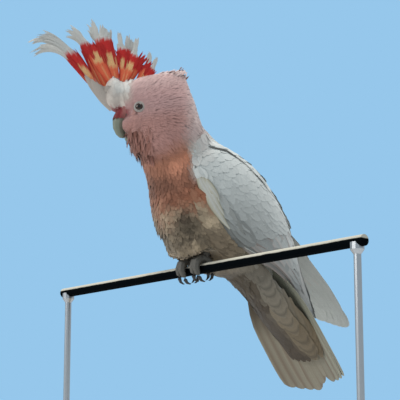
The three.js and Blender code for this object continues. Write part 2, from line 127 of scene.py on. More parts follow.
# ---------------------------------------------------------------- frames
perch_low, perch_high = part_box("perch_wire")
PERCH = (np.array(perch_low) + np.array(perch_high)) / 2


def turn(v):
    """A direction in the bird's own axes (forward, left, up) as one in the row frame."""
    x, y, z = v
    c, s = math.cos(BIRD_YAW), math.sin(BIRD_YAW)
    return np.array([x * c - y * s, x * s + y * c, z])


HEAD = PERCH + MM * turn(HEAD_CENTRE)
AFT = turn((-math.cos(PITCH), 0, -math.sin(PITCH)))
DORSAL = turn((-math.sin(PITCH), 0, math.cos(PITCH)))
LEFT = turn((0, 1, 0))
FACE = turn((math.cos(HEAD_YAW), -math.sin(HEAD_YAW), 0))
FACE_LEFT = turn((math.sin(HEAD_YAW), math.cos(HEAD_YAW), 0))
UP = np.array([0.0, 0.0, 1.0])


def from_head(axes, distances):
    """Points at distances in mm along three axes from the head's centre."""
    return HEAD + MM * sum(np.multiply.outer(far, axis) for far, axis in zip(distances, axes))


def torso(aft, dorsal, left):
    return from_head((AFT, DORSAL, LEFT), (aft, dorsal, left))


def head(forward, left, up):
    return from_head((FACE, FACE_LEFT, UP), (forward, left, up))


def tail_shift(t):
    """How far the tail lies to the left of the body's middle."""
    return TAIL["shift"] * smooth(t, 180, 240)


def body_coords(p):
    """aft, dorsal, left, and face forward, face left, up, in mm."""
    rel = (np.asarray(p) - HEAD) / MM
    return rel @ AFT, rel @ DORSAL, rel @ LEFT, rel @ FACE, rel @ FACE_LEFT, rel @ UP


# ---------------------------------------------------------------- object helpers
def deselect():
    if bpy.context.object and bpy.context.object.mode != "OBJECT":
        bpy.ops.object.mode_set(mode="OBJECT")
    bpy.ops.object.select_all(action="DESELECT")


def activate(obj):
    deselect()
    obj.hide_set(False)
    obj.select_set(True)
    bpy.context.view_layer.objects.active = obj


def added(name):
    obj = bpy.context.object
    obj.name = name
    obj.data.name = name
    return obj


def settle(obj):
    """Puts the object's place, turn and size into its mesh."""
    activate(obj)
    bpy.ops.object.transform_apply(location=True, rotation=True, scale=True)
    return obj


def linked(name, data):
    """A new object for some data, in the scene."""
    obj = bpy.data.objects.new(name, data)
    bpy.context.scene.collection.objects.link(obj)
    return obj


def joined(name, parts):
    """One object from several."""
    deselect()
    for part in parts:
        part.select_set(True)
    bpy.context.view_layer.objects.active = parts[0]
    if len(parts) > 1:
        bpy.ops.object.join()
    return added(name)


def soften(obj, rounds):
    """Smooths the mesh, after whatever modifiers it already has."""
    relax = obj.modifiers.new("Soften", "SMOOTH")
    relax.factor, relax.iterations = 0.5, rounds
    activate(obj)
    for modifier in list(obj.modifiers):
        bpy.ops.object.modifier_apply(modifier=modifier.name)


def remesh(obj, voxel, rounds):
    """Gives the object an even, softened mesh in the place of its own."""
    obj.data.remesh_voxel_size = voxel
    bpy.ops.object.voxel_remesh()
    soften(obj, rounds)


def finish_with(obj, material, slot, *nodes):
    obj.data.materials.clear()
    obj.data.materials.append(material)
    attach(obj, "root")
    if nodes:
        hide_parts(*nodes)


def triples(items, field, kind=float):
    """A field with three values for each item of a mesh, as an array."""
    values = np.empty(len(items) * 3, dtype=kind)
    items.foreach_get(field, values)
    return values.reshape(-1, 3)


def tree_of(obj):
    """A search tree of the mesh, its points and its triangles."""
    mesh = obj.data
    mesh.calc_loop_triangles()
    co, tri = triples(mesh.vertices, "co"), triples(mesh.loop_triangles, "vertices", np.int32)
    return BVHTree.FromPolygons(co.tolist(), tri.tolist()), co, tri


# ---------------------------------------------------------------- materials
def add_node(tree, kind, inputs=None, **settings):
    """A shader node: its settings are set first, and then each input is linked or set."""
    node = tree.nodes.new("ShaderNode" + kind)
    for key, value in settings.items():
        setattr(node, key, value)
    feed(tree, node, inputs or {})
    return node


def feed(tree, node, inputs):
    for key, value in inputs.items():
        if isinstance(value, bpy.types.NodeSocket):
            tree.links.new(value, node.inputs[key])
        else:
            node.inputs[key].default_value = value


def maths(tree, kind, *values):
    return add_node(tree, "Math", dict(enumerate(values)), operation=kind).outputs[0]


def new_group(name, values):
    """A node group that takes a colour and some values, and gives a colour and a height."""
    tree = bpy.data.node_groups.new(name, "ShaderNodeTree")
    for label, value in {"Colour": (1, 1, 1, 1), **values}.items():
        kind = "NodeSocketColor" if label == "Colour" else "NodeSocketFloat"
        tree.interface.new_socket(label, in_out="INPUT", socket_type=kind).default_value = value
    for label, kind in (("Colour", "NodeSocketColor"), ("Height", "NodeSocketFloat")):
        tree.interface.new_socket(label, in_out="OUTPUT", socket_type=kind)
    return tree, tree.nodes.new("NodeGroupInput").outputs, tree.nodes.new("NodeGroupOutput")


def barb_group():
    """Fine slanting barbs on both sides of a feather's shaft, read from its own Vane map."""
    tree, given, out = new_group("Feather barbs", {"Barbs": 90.0, "Contrast": 0.12, "Shaft": 0.1})
    uv = add_node(tree, "UVMap", uv_map="Vane").outputs["UV"]
    split = add_node(tree, "SeparateXYZ", {0: uv}).outputs
    across = maths(tree, "ABSOLUTE", maths(tree, "SUBTRACT", split["X"], 0.5))
    slant = maths(tree, "SUBTRACT", split["Y"], maths(tree, "MULTIPLY", across, 0.55))
    ripple = add_node(tree, "TexNoise", {"Scale": 6, "Vector": uv})
    wobble = maths(tree, "MULTIPLY", ripple.outputs["Fac"], 0.25)
    wave = maths(tree, "SINE", maths(tree, "MULTIPLY", maths(tree, "ADD", slant, wobble), given["Barbs"]))
    shaft = maths(tree, "LESS_THAN", across, 0.03)
    shade = maths(tree, "ADD", 1.0, maths(tree, "MULTIPLY", wave, given["Contrast"]))
    lifted = maths(tree, "ADD", shade, maths(tree, "MULTIPLY", shaft, given["Shaft"]))
    grey = add_node(tree, "CombineXYZ", {0: lifted, 1: lifted, 2: lifted})
    tint = add_node(tree, "Mix", {"Factor": 1, "A": given["Colour"], "B": grey.outputs[0]},
                    data_type="RGBA", blend_type="MULTIPLY")
    height = maths(tree, "ADD", wave, maths(tree, "MULTIPLY", shaft, 2.0))
    feed(tree, out, {"Colour": tint.outputs["Result"], "Height": height})
    return tree


def grain_group():
    """Uneven colour and small relief from noise on the piece itself."""
    tree, given, out = new_group("Uneven surface", {"Scale": 60.0, "Amount": 0.2})
    place = add_node(tree, "TexCoord").outputs["Object"]
    grain = add_node(tree, "TexNoise", {"Detail": 6, "Roughness": 0.65, "Vector": place, "Scale": given["Scale"]})
    grain = grain.outputs["Fac"]
    amount = maths(tree, "MULTIPLY_ADD", maths(tree, "SUBTRACT", grain, 0.5), given["Amount"], 1)
    tint = add_node(tree, "VectorMath", {0: given["Colour"], "Scale": amount}, operation="SCALE")
    feed(tree, out, {"Colour": tint.outputs[0], "Height": grain})
    return tree


BARBS = barb_group()
GRAIN = grain_group()


def surface(name, roughness, bump=0.2, colour=None, attribute=None, metallic=0.0):
    """A principled material's tree, shader and bump, and its colour, plain or from a mesh attribute."""
    material = bpy.data.materials.new(name)
    material.use_nodes = True
    tree = material.node_tree
    shader = tree.nodes["Principled BSDF"]
    if attribute:
        socket = add_node(tree, "Attribute", attribute_name=attribute).outputs["Color"]
    else:
        socket = add_node(tree, "RGB").outputs[0]
        socket.default_value = (*linear(colour), 1)
    relief = add_node(tree, "Bump", {"Strength": bump, "Distance": BUMP_HEIGHT})
    feed(tree, shader, {"Roughness": roughness, "Metallic": metallic, "Normal": relief.outputs["Normal"]})
    return material, shader, relief, socket


def grouped(group, values, name, roughness, bump, **source):
    """A material whose colour and relief come out of one of the two groups, and its shader."""
    material, shader, relief, socket = surface(name, roughness, bump, **source)
    tree = material.node_tree
    through = add_node(tree, "Group", {"Colour": socket, **values}, node_tree=group).outputs
    feed(tree, shader, {"Base Color": through["Colour"]})
    feed(tree, relief, {"Height": through["Height"]})
    return material, shader


def feather_material(name, barbs, contrast, roughness=0.75, sheen=0.25, shaft=0.1, bump=0.25):
    values = {"Barbs": barbs, "Contrast": contrast, "Shaft": shaft}
    material, shader = grouped(BARBS, values, name, roughness, bump, attribute="Plumage")
    feed(material.node_tree, shader,
         {"Sheen Weight": sheen, "Sheen Roughness": 0.5, "Specular IOR Level": 0.25})
    return material


def grained_material(name, colour, roughness, scale, amount, bump=0.2, **source):
    values = {"Scale": scale, "Amount": amount}
    return grouped(GRAIN, values, name, roughness, bump, colour=colour, **source)[0]


def wire_with_painted_highlight():
    """Black insulation, with a painted pale highlight along the top."""
    material, shader, relief, black = surface("Black wire", 0.85, 0.15, colour="#04080c")
    tree = material.node_tree
    place = add_node(tree, "TexCoord").outputs["Object"]
    height = add_node(tree, "SeparateXYZ", {0: place}).outputs["Z"]
    ripple = add_node(tree, "TexNoise", {"Scale": 90, "Vector": place}).outputs["Fac"]
    uneven_height = maths(tree, "MULTIPLY_ADD", ripple, 0.0012, height)
    # painted highlight: pale above a height on the wire's top
    top = add_node(tree, "MapRange", {"From Min": PERCH[2] + 2.2 * MM, "From Max": PERCH[2] + 3.0 * MM,
                                      "Value": uneven_height})
    blend = add_node(tree, "Mix", {"Factor": top.outputs["Result"], "A": black, "B": (*linear("#cfcabb"), 1)},
                     data_type="RGBA")
    feed(tree, shader, {"Specular IOR Level": 0.03, "Base Color": blend.outputs["Result"]})
    feed(tree, relief, {"Height": ripple})
    return material


# ---------------------------------------------------------------- camera, lights and floor
def set_camera():
    azimuth, elevation = math.radians(LOOK["azimuth"]), math.radians(LOOK["elevation"])
    back = Vector(
        (math.sin(azimuth) * math.cos(elevation), -math.cos(azimuth) * math.cos(elevation), math.sin(elevation))
    )
    right = Vector((math.cos(azimuth), math.sin(azimuth), 0))
    up = back.cross(right)
    target = Vector(PERCH) + LOOK["right"] * right + LOOK["up"] * up
    data = bpy.data.cameras.new("Camera")
    data.lens = LOOK["lens"]
    data.sensor_width = 36
    camera = bpy.data.objects.new("Camera", data)
    bpy.context.scene.collection.objects.link(camera)
    camera.location = target + LOOK["distance"] * back
    camera.rotation_euler = back.to_track_quat("Z", "Y").to_euler()
    bpy.context.scene.camera = camera


def area_light(name, place, target, size, power, colour=(1, 1, 1)):
    data = bpy.data.lights.new(name, "AREA")
    data.shape = "DISK"
    data.size = size
    data.energy = power
    data.color = colour
    lamp = bpy.data.objects.new(name, data)
    bpy.context.scene.collection.objects.link(lamp)
    lamp.location = place
    lamp.rotation_euler = (Vector(place) - Vector(target)).to_track_quat("Z", "Y").to_euler()


def set_studio():
    """Soft neutral light all round, a plain sky-blue backdrop behind the model, and a pale floor."""
    world = bpy.data.worlds.new("Studio")
    bpy.context.scene.world = world
    world.use_nodes = True
    nodes, links = world.node_tree.nodes, world.node_tree.links
    lighting = nodes["Background"]
    lighting.inputs["Color"].default_value = (*AMBIENT, 1)
    lighting.inputs["Strength"].default_value = 1
    backdrop = nodes.new("ShaderNodeBackground")
    backdrop.inputs["Color"].default_value = (*BACKDROP, 1)
    path = nodes.new("ShaderNodeLightPath")
    pick = nodes.new("ShaderNodeMixShader")
    links.new(path.outputs["Is Camera Ray"], pick.inputs[0])
    links.new(lighting.outputs[0], pick.inputs[1])
    links.new(backdrop.outputs[0], pick.inputs[2])
    links.new(pick.outputs[0], nodes["World Output"].inputs["Surface"])
    area_light("Overhead", (0.1, 0.25, 1.6), (0, 0, 0.35), 0.9, 15, (1, 0.97, 0.92))
    area_light("Front", (-0.5, -1.5, 1.0), (0, 0, 0.35), 1.0, 11, (1, 0.97, 0.93))
    bpy.context.scene.view_settings.view_transform = "Standard"
    deselect()
    bpy.ops.mesh.primitive_plane_add(size=40)
    floor = added("floor")
    floor.data.materials.append(grained_material("Pale floor", "#d9dadb", 0.9, 3, 0.02, 0.02))


set_camera()
set_studio()


FLESH = ["head", "neck", "trunk", "undertail_coverts", "left_thigh", "right_thigh", "left_wing", "right_wing"]
TREES = {name: tree_of(NODE[name])[0] for name in FLESH}


# ---------------------------------------------------------------- wing sheets
def wing_sheet(name, sign):
    """The outer face of a wing. place(t, w, out): t mm aft, w from lower edge to upper, out mm above it."""
    tree = TREES[name]
    ts, angles = np.arange(48.0, 331.0, 3.0), np.radians(np.arange(-46.0, 137.0, 1.5))
    reach = np.full((len(ts), len(angles)), np.nan)
    for i, t in enumerate(ts):
        axis = torso(t, 0, 0)
        for j, a in enumerate(angles):
            ray = DORSAL * math.cos(a) + LEFT * (sign * math.sin(a))
            hit = tree.ray_cast(Vector(axis + ray * 0.13), Vector(-ray), 0.13)[0]
            if hit is not None:
                reach[i, j] = np.linalg.norm(np.array(hit) - axis) / MM
    seen = ~np.isnan(reach)
    rows = np.nonzero(seen.any(axis=1))[0]
    end = ts[rows[-1]]
    low = np.array([angles[seen[i]].max() if seen[i].any() else np.nan for i in range(len(ts))])
    high = np.array([angles[seen[i]].min() if seen[i].any() else np.nan for i in range(len(ts))])
    for edge in (low, high):
        good = seen.any(axis=1) & (ts <= end - 33)
        last = np.nonzero(good)[0][-1]
        slope = (edge[last] - edge[last - 7]) / (ts[last] - ts[last - 7])
        edge[:] = np.where(ts > ts[last], edge[last] + slope * (ts - ts[last]), np.interp(ts, ts[good], edge[good]))
        blur(edge)
    for i in rows:
        reach[i] = np.interp(angles, angles[seen[i]], reach[i][seen[i]])
    reach[: rows[0]] = reach[rows[0]]
    reach[rows[-1] + 1 :] = reach[rows[-1]]
    for _ in range(2):
        blur(reach)
        blur(reach.T)

    def radius(t, a):
        x = np.clip((t - ts[0]) / 3.0, 0, len(ts) - 1.001)
        y = np.clip((a - angles[0]) / (angles[1] - angles[0]), 0, len(angles) - 1.001)
        i, j = x.astype(int), y.astype(int)
        p, q = x - i, y - j
        return (
            (1 - p) * ((1 - q) * reach[i, j] + q * reach[i, j + 1])
            + p * ((1 - q) * reach[i + 1, j] + q * reach[i + 1, j + 1])
        )

    def place(t, w, out):
        t, w, out = np.broadcast_arrays(np.asarray(t, float), np.asarray(w, float), np.asarray(out, float))
        below, above = np.interp(t, ts, low), np.interp(t, ts, high)
        a = below + w * (above - below)
        r = radius(t, a) + out
        return torso(t, r * np.cos(a), sign * r * np.sin(a))

    def cover(p):
        """1 on the wing and 0 off it, with how deep under its face a point lies."""
        t, d, l, *_ = body_coords(p)
        a = np.arctan2(sign * l, d)
        below, above = np.interp(t, ts, low), np.interp(t, ts, high)
        inside = (a < below + 0.02) & (a > above - 0.02) & (t > 51) & (t < end)
        return inside, radius(t, a) - np.hypot(d, l)

    def arc(t):
        return float((np.interp(t, ts, low) - np.interp(t, ts, high)) * radius(np.array([t]), np.array([1.0]))[0])

    def across(t, degrees):
        """Where an angle from the back's middle line falls, from 0 at the lower edge to 1 at the upper."""
        below, above = np.interp(t, ts, low), np.interp(t, ts, high)
        return (np.radians(degrees) - below) / (above - below)

    return {"place": place, "end": float(end), "cover": cover, "arc": arc, "across": across,
            "slant": TIP_SLANT[sign]}


SHEETS = {"left_wing": wing_sheet("left_wing", 1), "right_wing": wing_sheet("right_wing", -1)}


def on_wing(p):
    """1 for points of a wing's own surface, 0 elsewhere."""
    share = np.zeros(len(p))
    for sheet in SHEETS.values():
        inside, depth = sheet["cover"](p)
        share = np.maximum(share, inside & (depth < WING_FACE))
    return share


def under_wing(p):
    """Points that a wing hides from outside."""
    hidden = np.zeros(len(p), dtype=bool)
    for sheet in SHEETS.values():
        inside, depth = sheet["cover"](p)
        hidden |= inside & (depth > WING_FACE)
    return hidden


# ---------------------------------------------------------------- markings and painted shade
def uneven(points, scale, seed=0.0):
    """Smooth noise from -1 to 1 at each point; scale is the size of its patches in mm."""
    k = 1 / (scale * MM)
    return np.array([noise.noise(Vector(p) * k + Vector((seed, 0, 0))) for p in np.asarray(points)])


def covert_lean(t):
    """How far across the underside the rows of coverts lean at t mm aft."""
    return 0.0075 * (245 - np.clip(t, 200, 245))


def vent_colour(p):
    """The buff of the undertail, with painted shade that makes it browner on the bird's right."""
    t, d, l, *_ = body_coords(p)
    # painted shade: darker and browner on the bird's right side
    shaded_side = 1 - smooth((l - tail_shift(t)) / 33 - covert_lean(t) + 0.08 * uneven(p, 9, 6.0), -0.12, 0.28)
    shaded_side = shaded_side * (0.72 + 0.28 * smooth(t, 195, 225))
    pale = mix(np.tile(COLOUR["undertail"], (len(t), 1)), COLOUR["undertail_tip"], smooth(t, 225, 280))
    return mix(pale, COLOUR["vent_shade"], shaded_side)


def plumage(p, wing=None):
    """The bird's colour, linear, at points on its skin, with painted shade and light on the throat, breast, belly and
    undertail.
    """
    t, d, l, f, s, z = body_coords(p)
    theta = np.degrees(np.arctan2(np.abs(l), d))
    patch = uneven(p, 14)
    fine = uneven(p, 5, 3.0)
    # head
    c = mix(np.tile(COLOUR["rose_head"], (len(t), 1)), COLOUR["rose_crown"], smooth(z + 0.2 * f, 6, 24))
    c = mix(c, COLOUR["rose_cheek"], smooth(-z - 0.15 * f, 2, 22))
    c = mix(c, COLOUR["nape"], smooth(-f - 0.1 * z, 24, 42) * 0.8)
    # painted shade: the throat and beard under the bill are darker
    c = mix(c, COLOUR["throat"], smooth(f - 0.2 * z, 20, 36) * smooth(-z, 24, 38))
    c = mix(c, COLOUR["beard"], smooth(f, 4, 18) * smooth(-z, 26, 36) * (0.6 + 0.4 * np.clip(patch, -1, 1)))
    c = mix(c, COLOUR["forehead"], smooth(f, 20, 30) * smooth(z, -3, 6))
    c = mix(c, COLOUR["puff"], smooth(f + 0.35 * z, 28, 40) * smooth(z, 5, 14))
    band = smooth(f, 22, 31) * smooth(z, -16, -12) * (1 - smooth(z, -7, -3))
    c = mix(c, COLOUR["front_band"], band)
    # body
    under = mix(np.tile(COLOUR["upper_breast"], (len(t), 1)), COLOUR["breast"], smooth(t, 68, 98))
    belly_start = 78 + 24 * (1 - smooth(theta, 124, 156))
    under = mix(under, COLOUR["belly"], smooth(t + 9 * patch + 10 * fine, belly_start - 4, belly_start + 34))
    under = mix(under, COLOUR["flank"], smooth(t, 104, 136) * (1 - smooth(theta, 118, 140)))
    under = under * (1 + 0.26 * patch + 0.18 * fine)[:, None]
    # painted shade: darker spots where the breast and belly lie in shade, lighter ones where the amount is negative
    for spot_t, spot_l, radius, dark in BREAST_PAINTED_SHADE:
        gap = np.hypot(t - spot_t, 0.8 * (np.abs(l) - spot_l)) + 3 * fine
        under = under * (1 - dark * (d < 0) * (1 - smooth(gap, 0.3 * radius, 1.3 * radius)))[:, None]
    under = mix(under, vent_colour(p), smooth(t, 150, 190))
    over = np.tile(COLOUR["mantle"], (len(t), 1))
    side = smooth(theta, 80, 122 - 24 * smooth(t, 60, 90))
    body = mix(over, under, side)
    nape_edge = smooth(t, 36, 60) * (1 - side) + smooth(t + 3 * patch, 28, 50) * side
    c = mix(c, body, nape_edge)
    for sign, sheet in ((1, SHEETS["left_wing"]), (-1, SHEETS["right_wing"])):
        below = -sheet["across"](t, np.degrees(np.arctan2(sign * l, d)))
        fade = (1 - smooth(below, 0.0, 0.16)) * (below > -0.3) * smooth(t, 40, 48) * (1 - smooth(t, 70, 84))
        c = mix(c, COLOUR["mantle"], 0.6 * fade * (sign * l > 0))
    c = mix(c, COLOUR["wing"], on_wing(p) if wing is None else wing)
    return np.clip(c * (1 + 0.05 * fine)[:, None], 0.004, 0.95)


# ---------------------------------------------------------------- skin
def nearest_node(points):
    """Which flesh node each point lies nearest to."""
    found = []
    for p in points:
        v = Vector(p)
        found.append(min(FLESH, key=lambda name: TREES[name].find_nearest(v)[3]))
    return np.array(found)


def coat_depth(p):
    """Thickness of the plumage over the skin, in mm."""
    t, d, l, f, s, z = body_coords(p)
    face = 1 - smooth(np.hypot(f - 36, z + 8), 10, 40)
    depth = 2.2 + 1.2 * smooth(t, 30, 80)
    return np.where(t < 60, depth * (1 - 0.6 * face), depth)


def make_skin():
    copies = []
    for name in FLESH:
        deselect()
        copy = linked("skin_" + name, NODE[name].data.copy())
        activate(copy)
        bpy.ops.object.mode_set(mode="EDIT")
        bpy.ops.mesh.select_all(action="SELECT")
        bpy.ops.mesh.remove_doubles(threshold=1e-6)
        bpy.ops.transform.shrink_fatten(value=0.0005)
        if name.endswith("wing"):
            bpy.ops.mesh.bisect(
                plane_co=torso(WING_SKIN_END, 0, 0), plane_no=AFT, use_fill=True, clear_outer=True
            )
        bpy.ops.object.mode_set(mode="OBJECT")
        copies.append(copy)
    # the swelling that carries the crest
    deselect()
    lean = Vector(unit(FACE * 0.15 + UP)).to_track_quat("Z", "Y").to_euler()
    bpy.ops.mesh.primitive_uv_sphere_add(
        segments=24, ring_count=16, location=head(39, 0, 12), scale=(0.0135, 0.0125, 0.018), rotation=lean
    )
    copies.append(settle(added("skin_forehead")))
    skin = joined("skin", copies)
    remesh(skin, VOXEL, 6)
    depth = coat_depth(triples(skin.data.vertices, "co"))
    group = skin.vertex_groups.new(name="coat_depth")
    deepest = float(depth.max())
    levels = np.round(depth / deepest, 2)
    for level in np.unique(levels):
        group.add(np.nonzero(levels == level)[0].tolist(), float(level), "REPLACE")
    sink = skin.modifiers.new("Sink", "DISPLACE")
    sink.strength = -deepest * MM
    sink.mid_level = 0
    sink.vertex_group = "coat_depth"
    soften(skin, 4)
    bpy.ops.object.shade_smooth()
    skin.vertex_groups.clear()
    return skin


def colour_points(obj, colours):
    layer = obj.data.color_attributes.new("Plumage", "FLOAT_COLOR", "POINT")
    rgba = np.ones((len(colours), 4))
    rgba[:, :3] = colours
    layer.data.foreach_set("color", rgba.ravel())


skin = make_skin()
SKIN_TREE, SKIN_CO, SKIN_TRI = tree_of(skin)
# painted shade: the skin under the plumage is darkened like the shade between feathers
colour_points(skin, plumage(SKIN_CO) * 0.88)
skin_finish = grained_material("Skin under the plumage", None, 0.9, 900, 0.25, 0.3, attribute="Plumage")
finish_with(skin, skin_finish, "feather_pink", *FLESH)
SKIN_NORMAL = triples(skin.data.vertices, "normal")


# ---------------------------------------------------------------- feathers
def vane_pattern(along, across):
    """Vertices and faces of one closed, thin vane: (u, v, underside) for each vertex, and its quads."""
    index, verts = {}, []
    for side in (0, 1):
        for i in range(along + 1):
            for j in range(across + 1):
                border = i in (0, along) or j in (0, across)
                if side and border:
                    index[1, i, j] = index[0, i, j]
                    continue
                index[side, i, j] = len(verts)
                verts.append((i, j, side))
    quads = []
    for i in range(along):
        for j in range(across):
            corners = [(i, j), (i, j + 1), (i + 1, j + 1), (i + 1, j)]
            quads.append([index[0, a, b] for a, b in corners[::-1]])
            quads.append([index[1, a, b] for a, b in corners])
    return np.array(verts), np.array(quads)


def build_vanes(name, mid, normal, width, shape, across, tint, bake, ragged=0.0, camber=0.12,
                thick=0.12, rounding=0.5, patch=(BAKE_PATCH, BAKE_PATCH), tip_from=0.45, soft=0.0):
    """One joined mesh of vanes.

    mid and normal are (feathers, stations, 3); width is each one's full width in metres; shape is the
    half width at each station as a share; tint(u, v) gives (feathers, points, 3) colours; bake is the
    middle of each one's patch on the skin's unwrap. shape may also be given feather by feather.
    """
    feathers, stations = mid.shape[:2]
    verts, quads = vane_pattern(stations - 1, across)
    i, j, under = verts.T
    u = i / (stations - 1)
    v = j / across * 2 - 1
    along = unit(np.gradient(mid, axis=1))
    out = unit(normal - np.sum(normal * along, axis=-1, keepdims=True) * along)
    side = np.cross(out, along)
    half = (width[:, None] / 2) * np.broadcast_to(shape, (feathers, stations))
    length = np.linalg.norm(np.diff(mid, axis=1), axis=-1).sum(axis=1)
    co = mid[:, i] + side[:, i] * (half[:, i] * v)[..., None]
    co -= out[:, i] * (camber * half[:, i] * v * v)[..., None]
    body = (1 - v * v) * np.sin(np.pi * np.clip(u, 0.02, 0.98)) ** 0.5
    co -= out[:, i] * (under * thick * MM * body)[None, :, None]
    tip = np.clip((u - tip_from) / (1 - tip_from), 0, 1)
    back = rounding * v * v * tip * half[:, i]
    if ragged:
        notch = RNG.random((feathers, across + 1))[:, j] * ragged
        back = back + notch * tip * length[:, None] * 0.5
    co -= along[:, i] * back[..., None]
    total = len(verts)
    mesh = bpy.data.meshes.new(name)
    mesh.vertices.add(feathers * total)
    mesh.vertices.foreach_set("co", co.ravel())
    loops = (quads[None] + (np.arange(feathers) * total)[:, None, None]).reshape(-1, 4)
    mesh.loops.add(loops.size)
    mesh.loops.foreach_set("vertex_index", loops.ravel().astype(np.int32))
    mesh.polygons.add(len(loops))
    mesh.polygons.foreach_set("loop_start", np.arange(0, loops.size, 4, dtype=np.int32))
    mesh.polygons.foreach_set("use_smooth", np.ones(len(loops), dtype=bool))
    corner = quads.ravel()
    vane = mesh.uv_layers.new(name="Vane")
    vane.data.foreach_set("uv", np.tile(np.stack([(v[corner] + 1) / 2, u[corner]], -1), (feathers, 1)).ravel())
    baked = mesh.uv_layers.new(name="OFBake")
    spot = np.stack([v[corner] * 0.5 * patch[0] * 0.94, (u[corner] - 0.5) * patch[1] * 0.94], -1)
    baked.data.foreach_set("uv", (bake[:, None, :] + spot[None]).ravel())
    mesh.update(calc_edges=True)
    obj = bpy.data.objects.new(name, mesh)
    bpy.context.scene.collection.objects.link(obj)
    colour_points(obj, np.clip(tint(u, v), 0.003, 0.98).reshape(-1, 3))
    own = out[:, i] + side[:, i] * (2 * camber * v)[:, None]
    hug = soft * smooth(np.sum(normal * out, axis=-1), 0.3, 0.75)[:, i]
    shading = unit(mix(unit(own), normal[:, i], hug))
    face_up = np.where(np.arange(len(quads)) % 2 == 0, 1.0, -1.0).repeat(4)
    mesh.normals_split_custom_set((shading[:, corner] * face_up[:, None]).reshape(-1, 3).tolist())
    return obj


def unwrap(points):
    """Each point's place on an unwrap of the skin: round the body axis, and along it from crown to tail."""
    t, d, l, f, s, z = body_coords(points)
    radius = np.hypot(d, l)
    crown = np.arctan2(-np.minimum(t, 0), np.maximum(radius, 1e-3))
    down = np.where(t < 0, -40 * crown, t)
    return np.stack([np.arctan2(l, d) / (2 * np.pi) + 0.5, (down + 64) / 400], -1)


def fitted(bake, low=0.01, high=0.99):
    """The same unwrap, stretched over the whole map of one piece."""
    least, most = bake.min(axis=0), bake.max(axis=0)
    return low + (bake - least) / np.maximum(most - least, 1e-6) * (high - low)


BILL_BASE = head(36, 0, -14)
BILL_TREE = tree_of(NODE["upper_bill"])[0]
EYES = {side: np.array(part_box(side + "_eye")).mean(axis=0) for side in ("left", "right")}
FOOT = {side: np.array(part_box(side + "_foot")).mean(axis=0) for side in ("left", "right")}


def lie(points, region):
    """The direction that the feathers lie in at each point."""
    t, d, l, f, s, z = body_coords(points)
    from_bill = unit(points - BILL_BASE)
    flow = mix(from_bill, AFT[None, :], smooth(t, 12, 52))
    for side in ("left", "right"):
        to_foot = unit(FOOT[side] - UP * 0.004 - points)
        flow = np.where((region == side + "_thigh")[:, None], unit(0.8 * to_foot + 0.5 * AFT), flow)
    return flow


def on_skin(points):
    """The nearest points of the skin, and the smooth normals there."""
    where, normals = np.empty_like(points), np.empty_like(points)
    for k, p in enumerate(points):
        hit, _, face, _ = SKIN_TREE.find_nearest(Vector(p))
        where[k] = hit
        normals[k] = SKIN_NORMAL[SKIN_TRI[face]].mean(axis=0)
    return where, unit(normals)


def scatter(spacing_at, count):
    """Roots spread evenly over the skin, about spacing_at(points) mm apart."""
    corners = SKIN_CO[SKIN_TRI]
    area = np.linalg.norm(np.cross(corners[:, 1] - corners[:, 0], corners[:, 2] - corners[:, 0]), axis=1) / 2
    weight = area / spacing_at(corners.mean(axis=1)) ** 2
    pick = RNG.choice(len(corners), count, p=weight / weight.sum())
    a, b = RNG.random((2, count))
    a, b = np.where(a + b > 1, 1 - a, a), np.where(a + b > 1, 1 - b, b)
    tri = corners[pick]
    points = tri[:, 0] + a[:, None] * (tri[:, 1] - tri[:, 0]) + b[:, None] * (tri[:, 2] - tri[:, 0])
    radius = spacing_at(points) * MM
    cell = 2.5 * MM
    keys = np.floor(points / cell).astype(int)
    grid, kept = {}, []
    for k in range(count):
        reach = int(math.ceil(radius[k] / cell))
        x, y, w = keys[k]
        clear = True
        for i in range(x - reach, x + reach + 1):
            for j in range(y - reach, y + reach + 1):
                for m in range(w - reach, w + reach + 1):
                    for other in grid.get((i, j, m), ()):
                        if np.sum((points[other] - points[k]) ** 2) < radius[k] ** 2:
                            clear = False
                            break
                    if not clear:
                        break
                if not clear:
                    break
            if not clear:
                break
        if clear:
            grid.setdefault((x, y, w), []).append(k)
            kept.append(k)
    return points[kept]


def eye_distance(points):
    """Distance from the nearer eye's centre, and its direction, in mm."""
    away = [points - EYES[side] for side in EYES]
    gaps = np.stack([np.linalg.norm(a, axis=1) for a in away]) / MM
    nearer = np.argmin(gaps, axis=0)
    return gaps.min(axis=0), -unit(np.stack(away)[nearer, np.arange(len(points))])


def feather_length(points):
    """How long the body feathers are at each point, in mm."""
    t, d, l, f, s, z = body_coords(points)
    from_bill = np.linalg.norm(points - BILL_BASE, axis=1) / MM
    length = 3.2 + 6.0 * smooth(from_bill, 10, 62)
    length = length + 5.0 * smooth(z + 0.35 * f, 18, 30) * smooth(f, 14, 30)
    length = length + 4.5 * smooth(t, 36, 66) + 3.0 * smooth(t, 66, 96)
    length = length + 2.0 * smooth(t, 104, 130) * smooth(-d, -10, 20)
    return length * (1 - 0.4 * smooth(t, 108, 128) * smooth(-d, 30, 50))


def root_spacing(points):
    t = body_coords(points)[0]
    length = feather_length(points)
    return 0.5 + (mix_value(0.12, 0.10, smooth(t, 36, 80)) - 0.01 * smooth(t, 84, 110)) * length


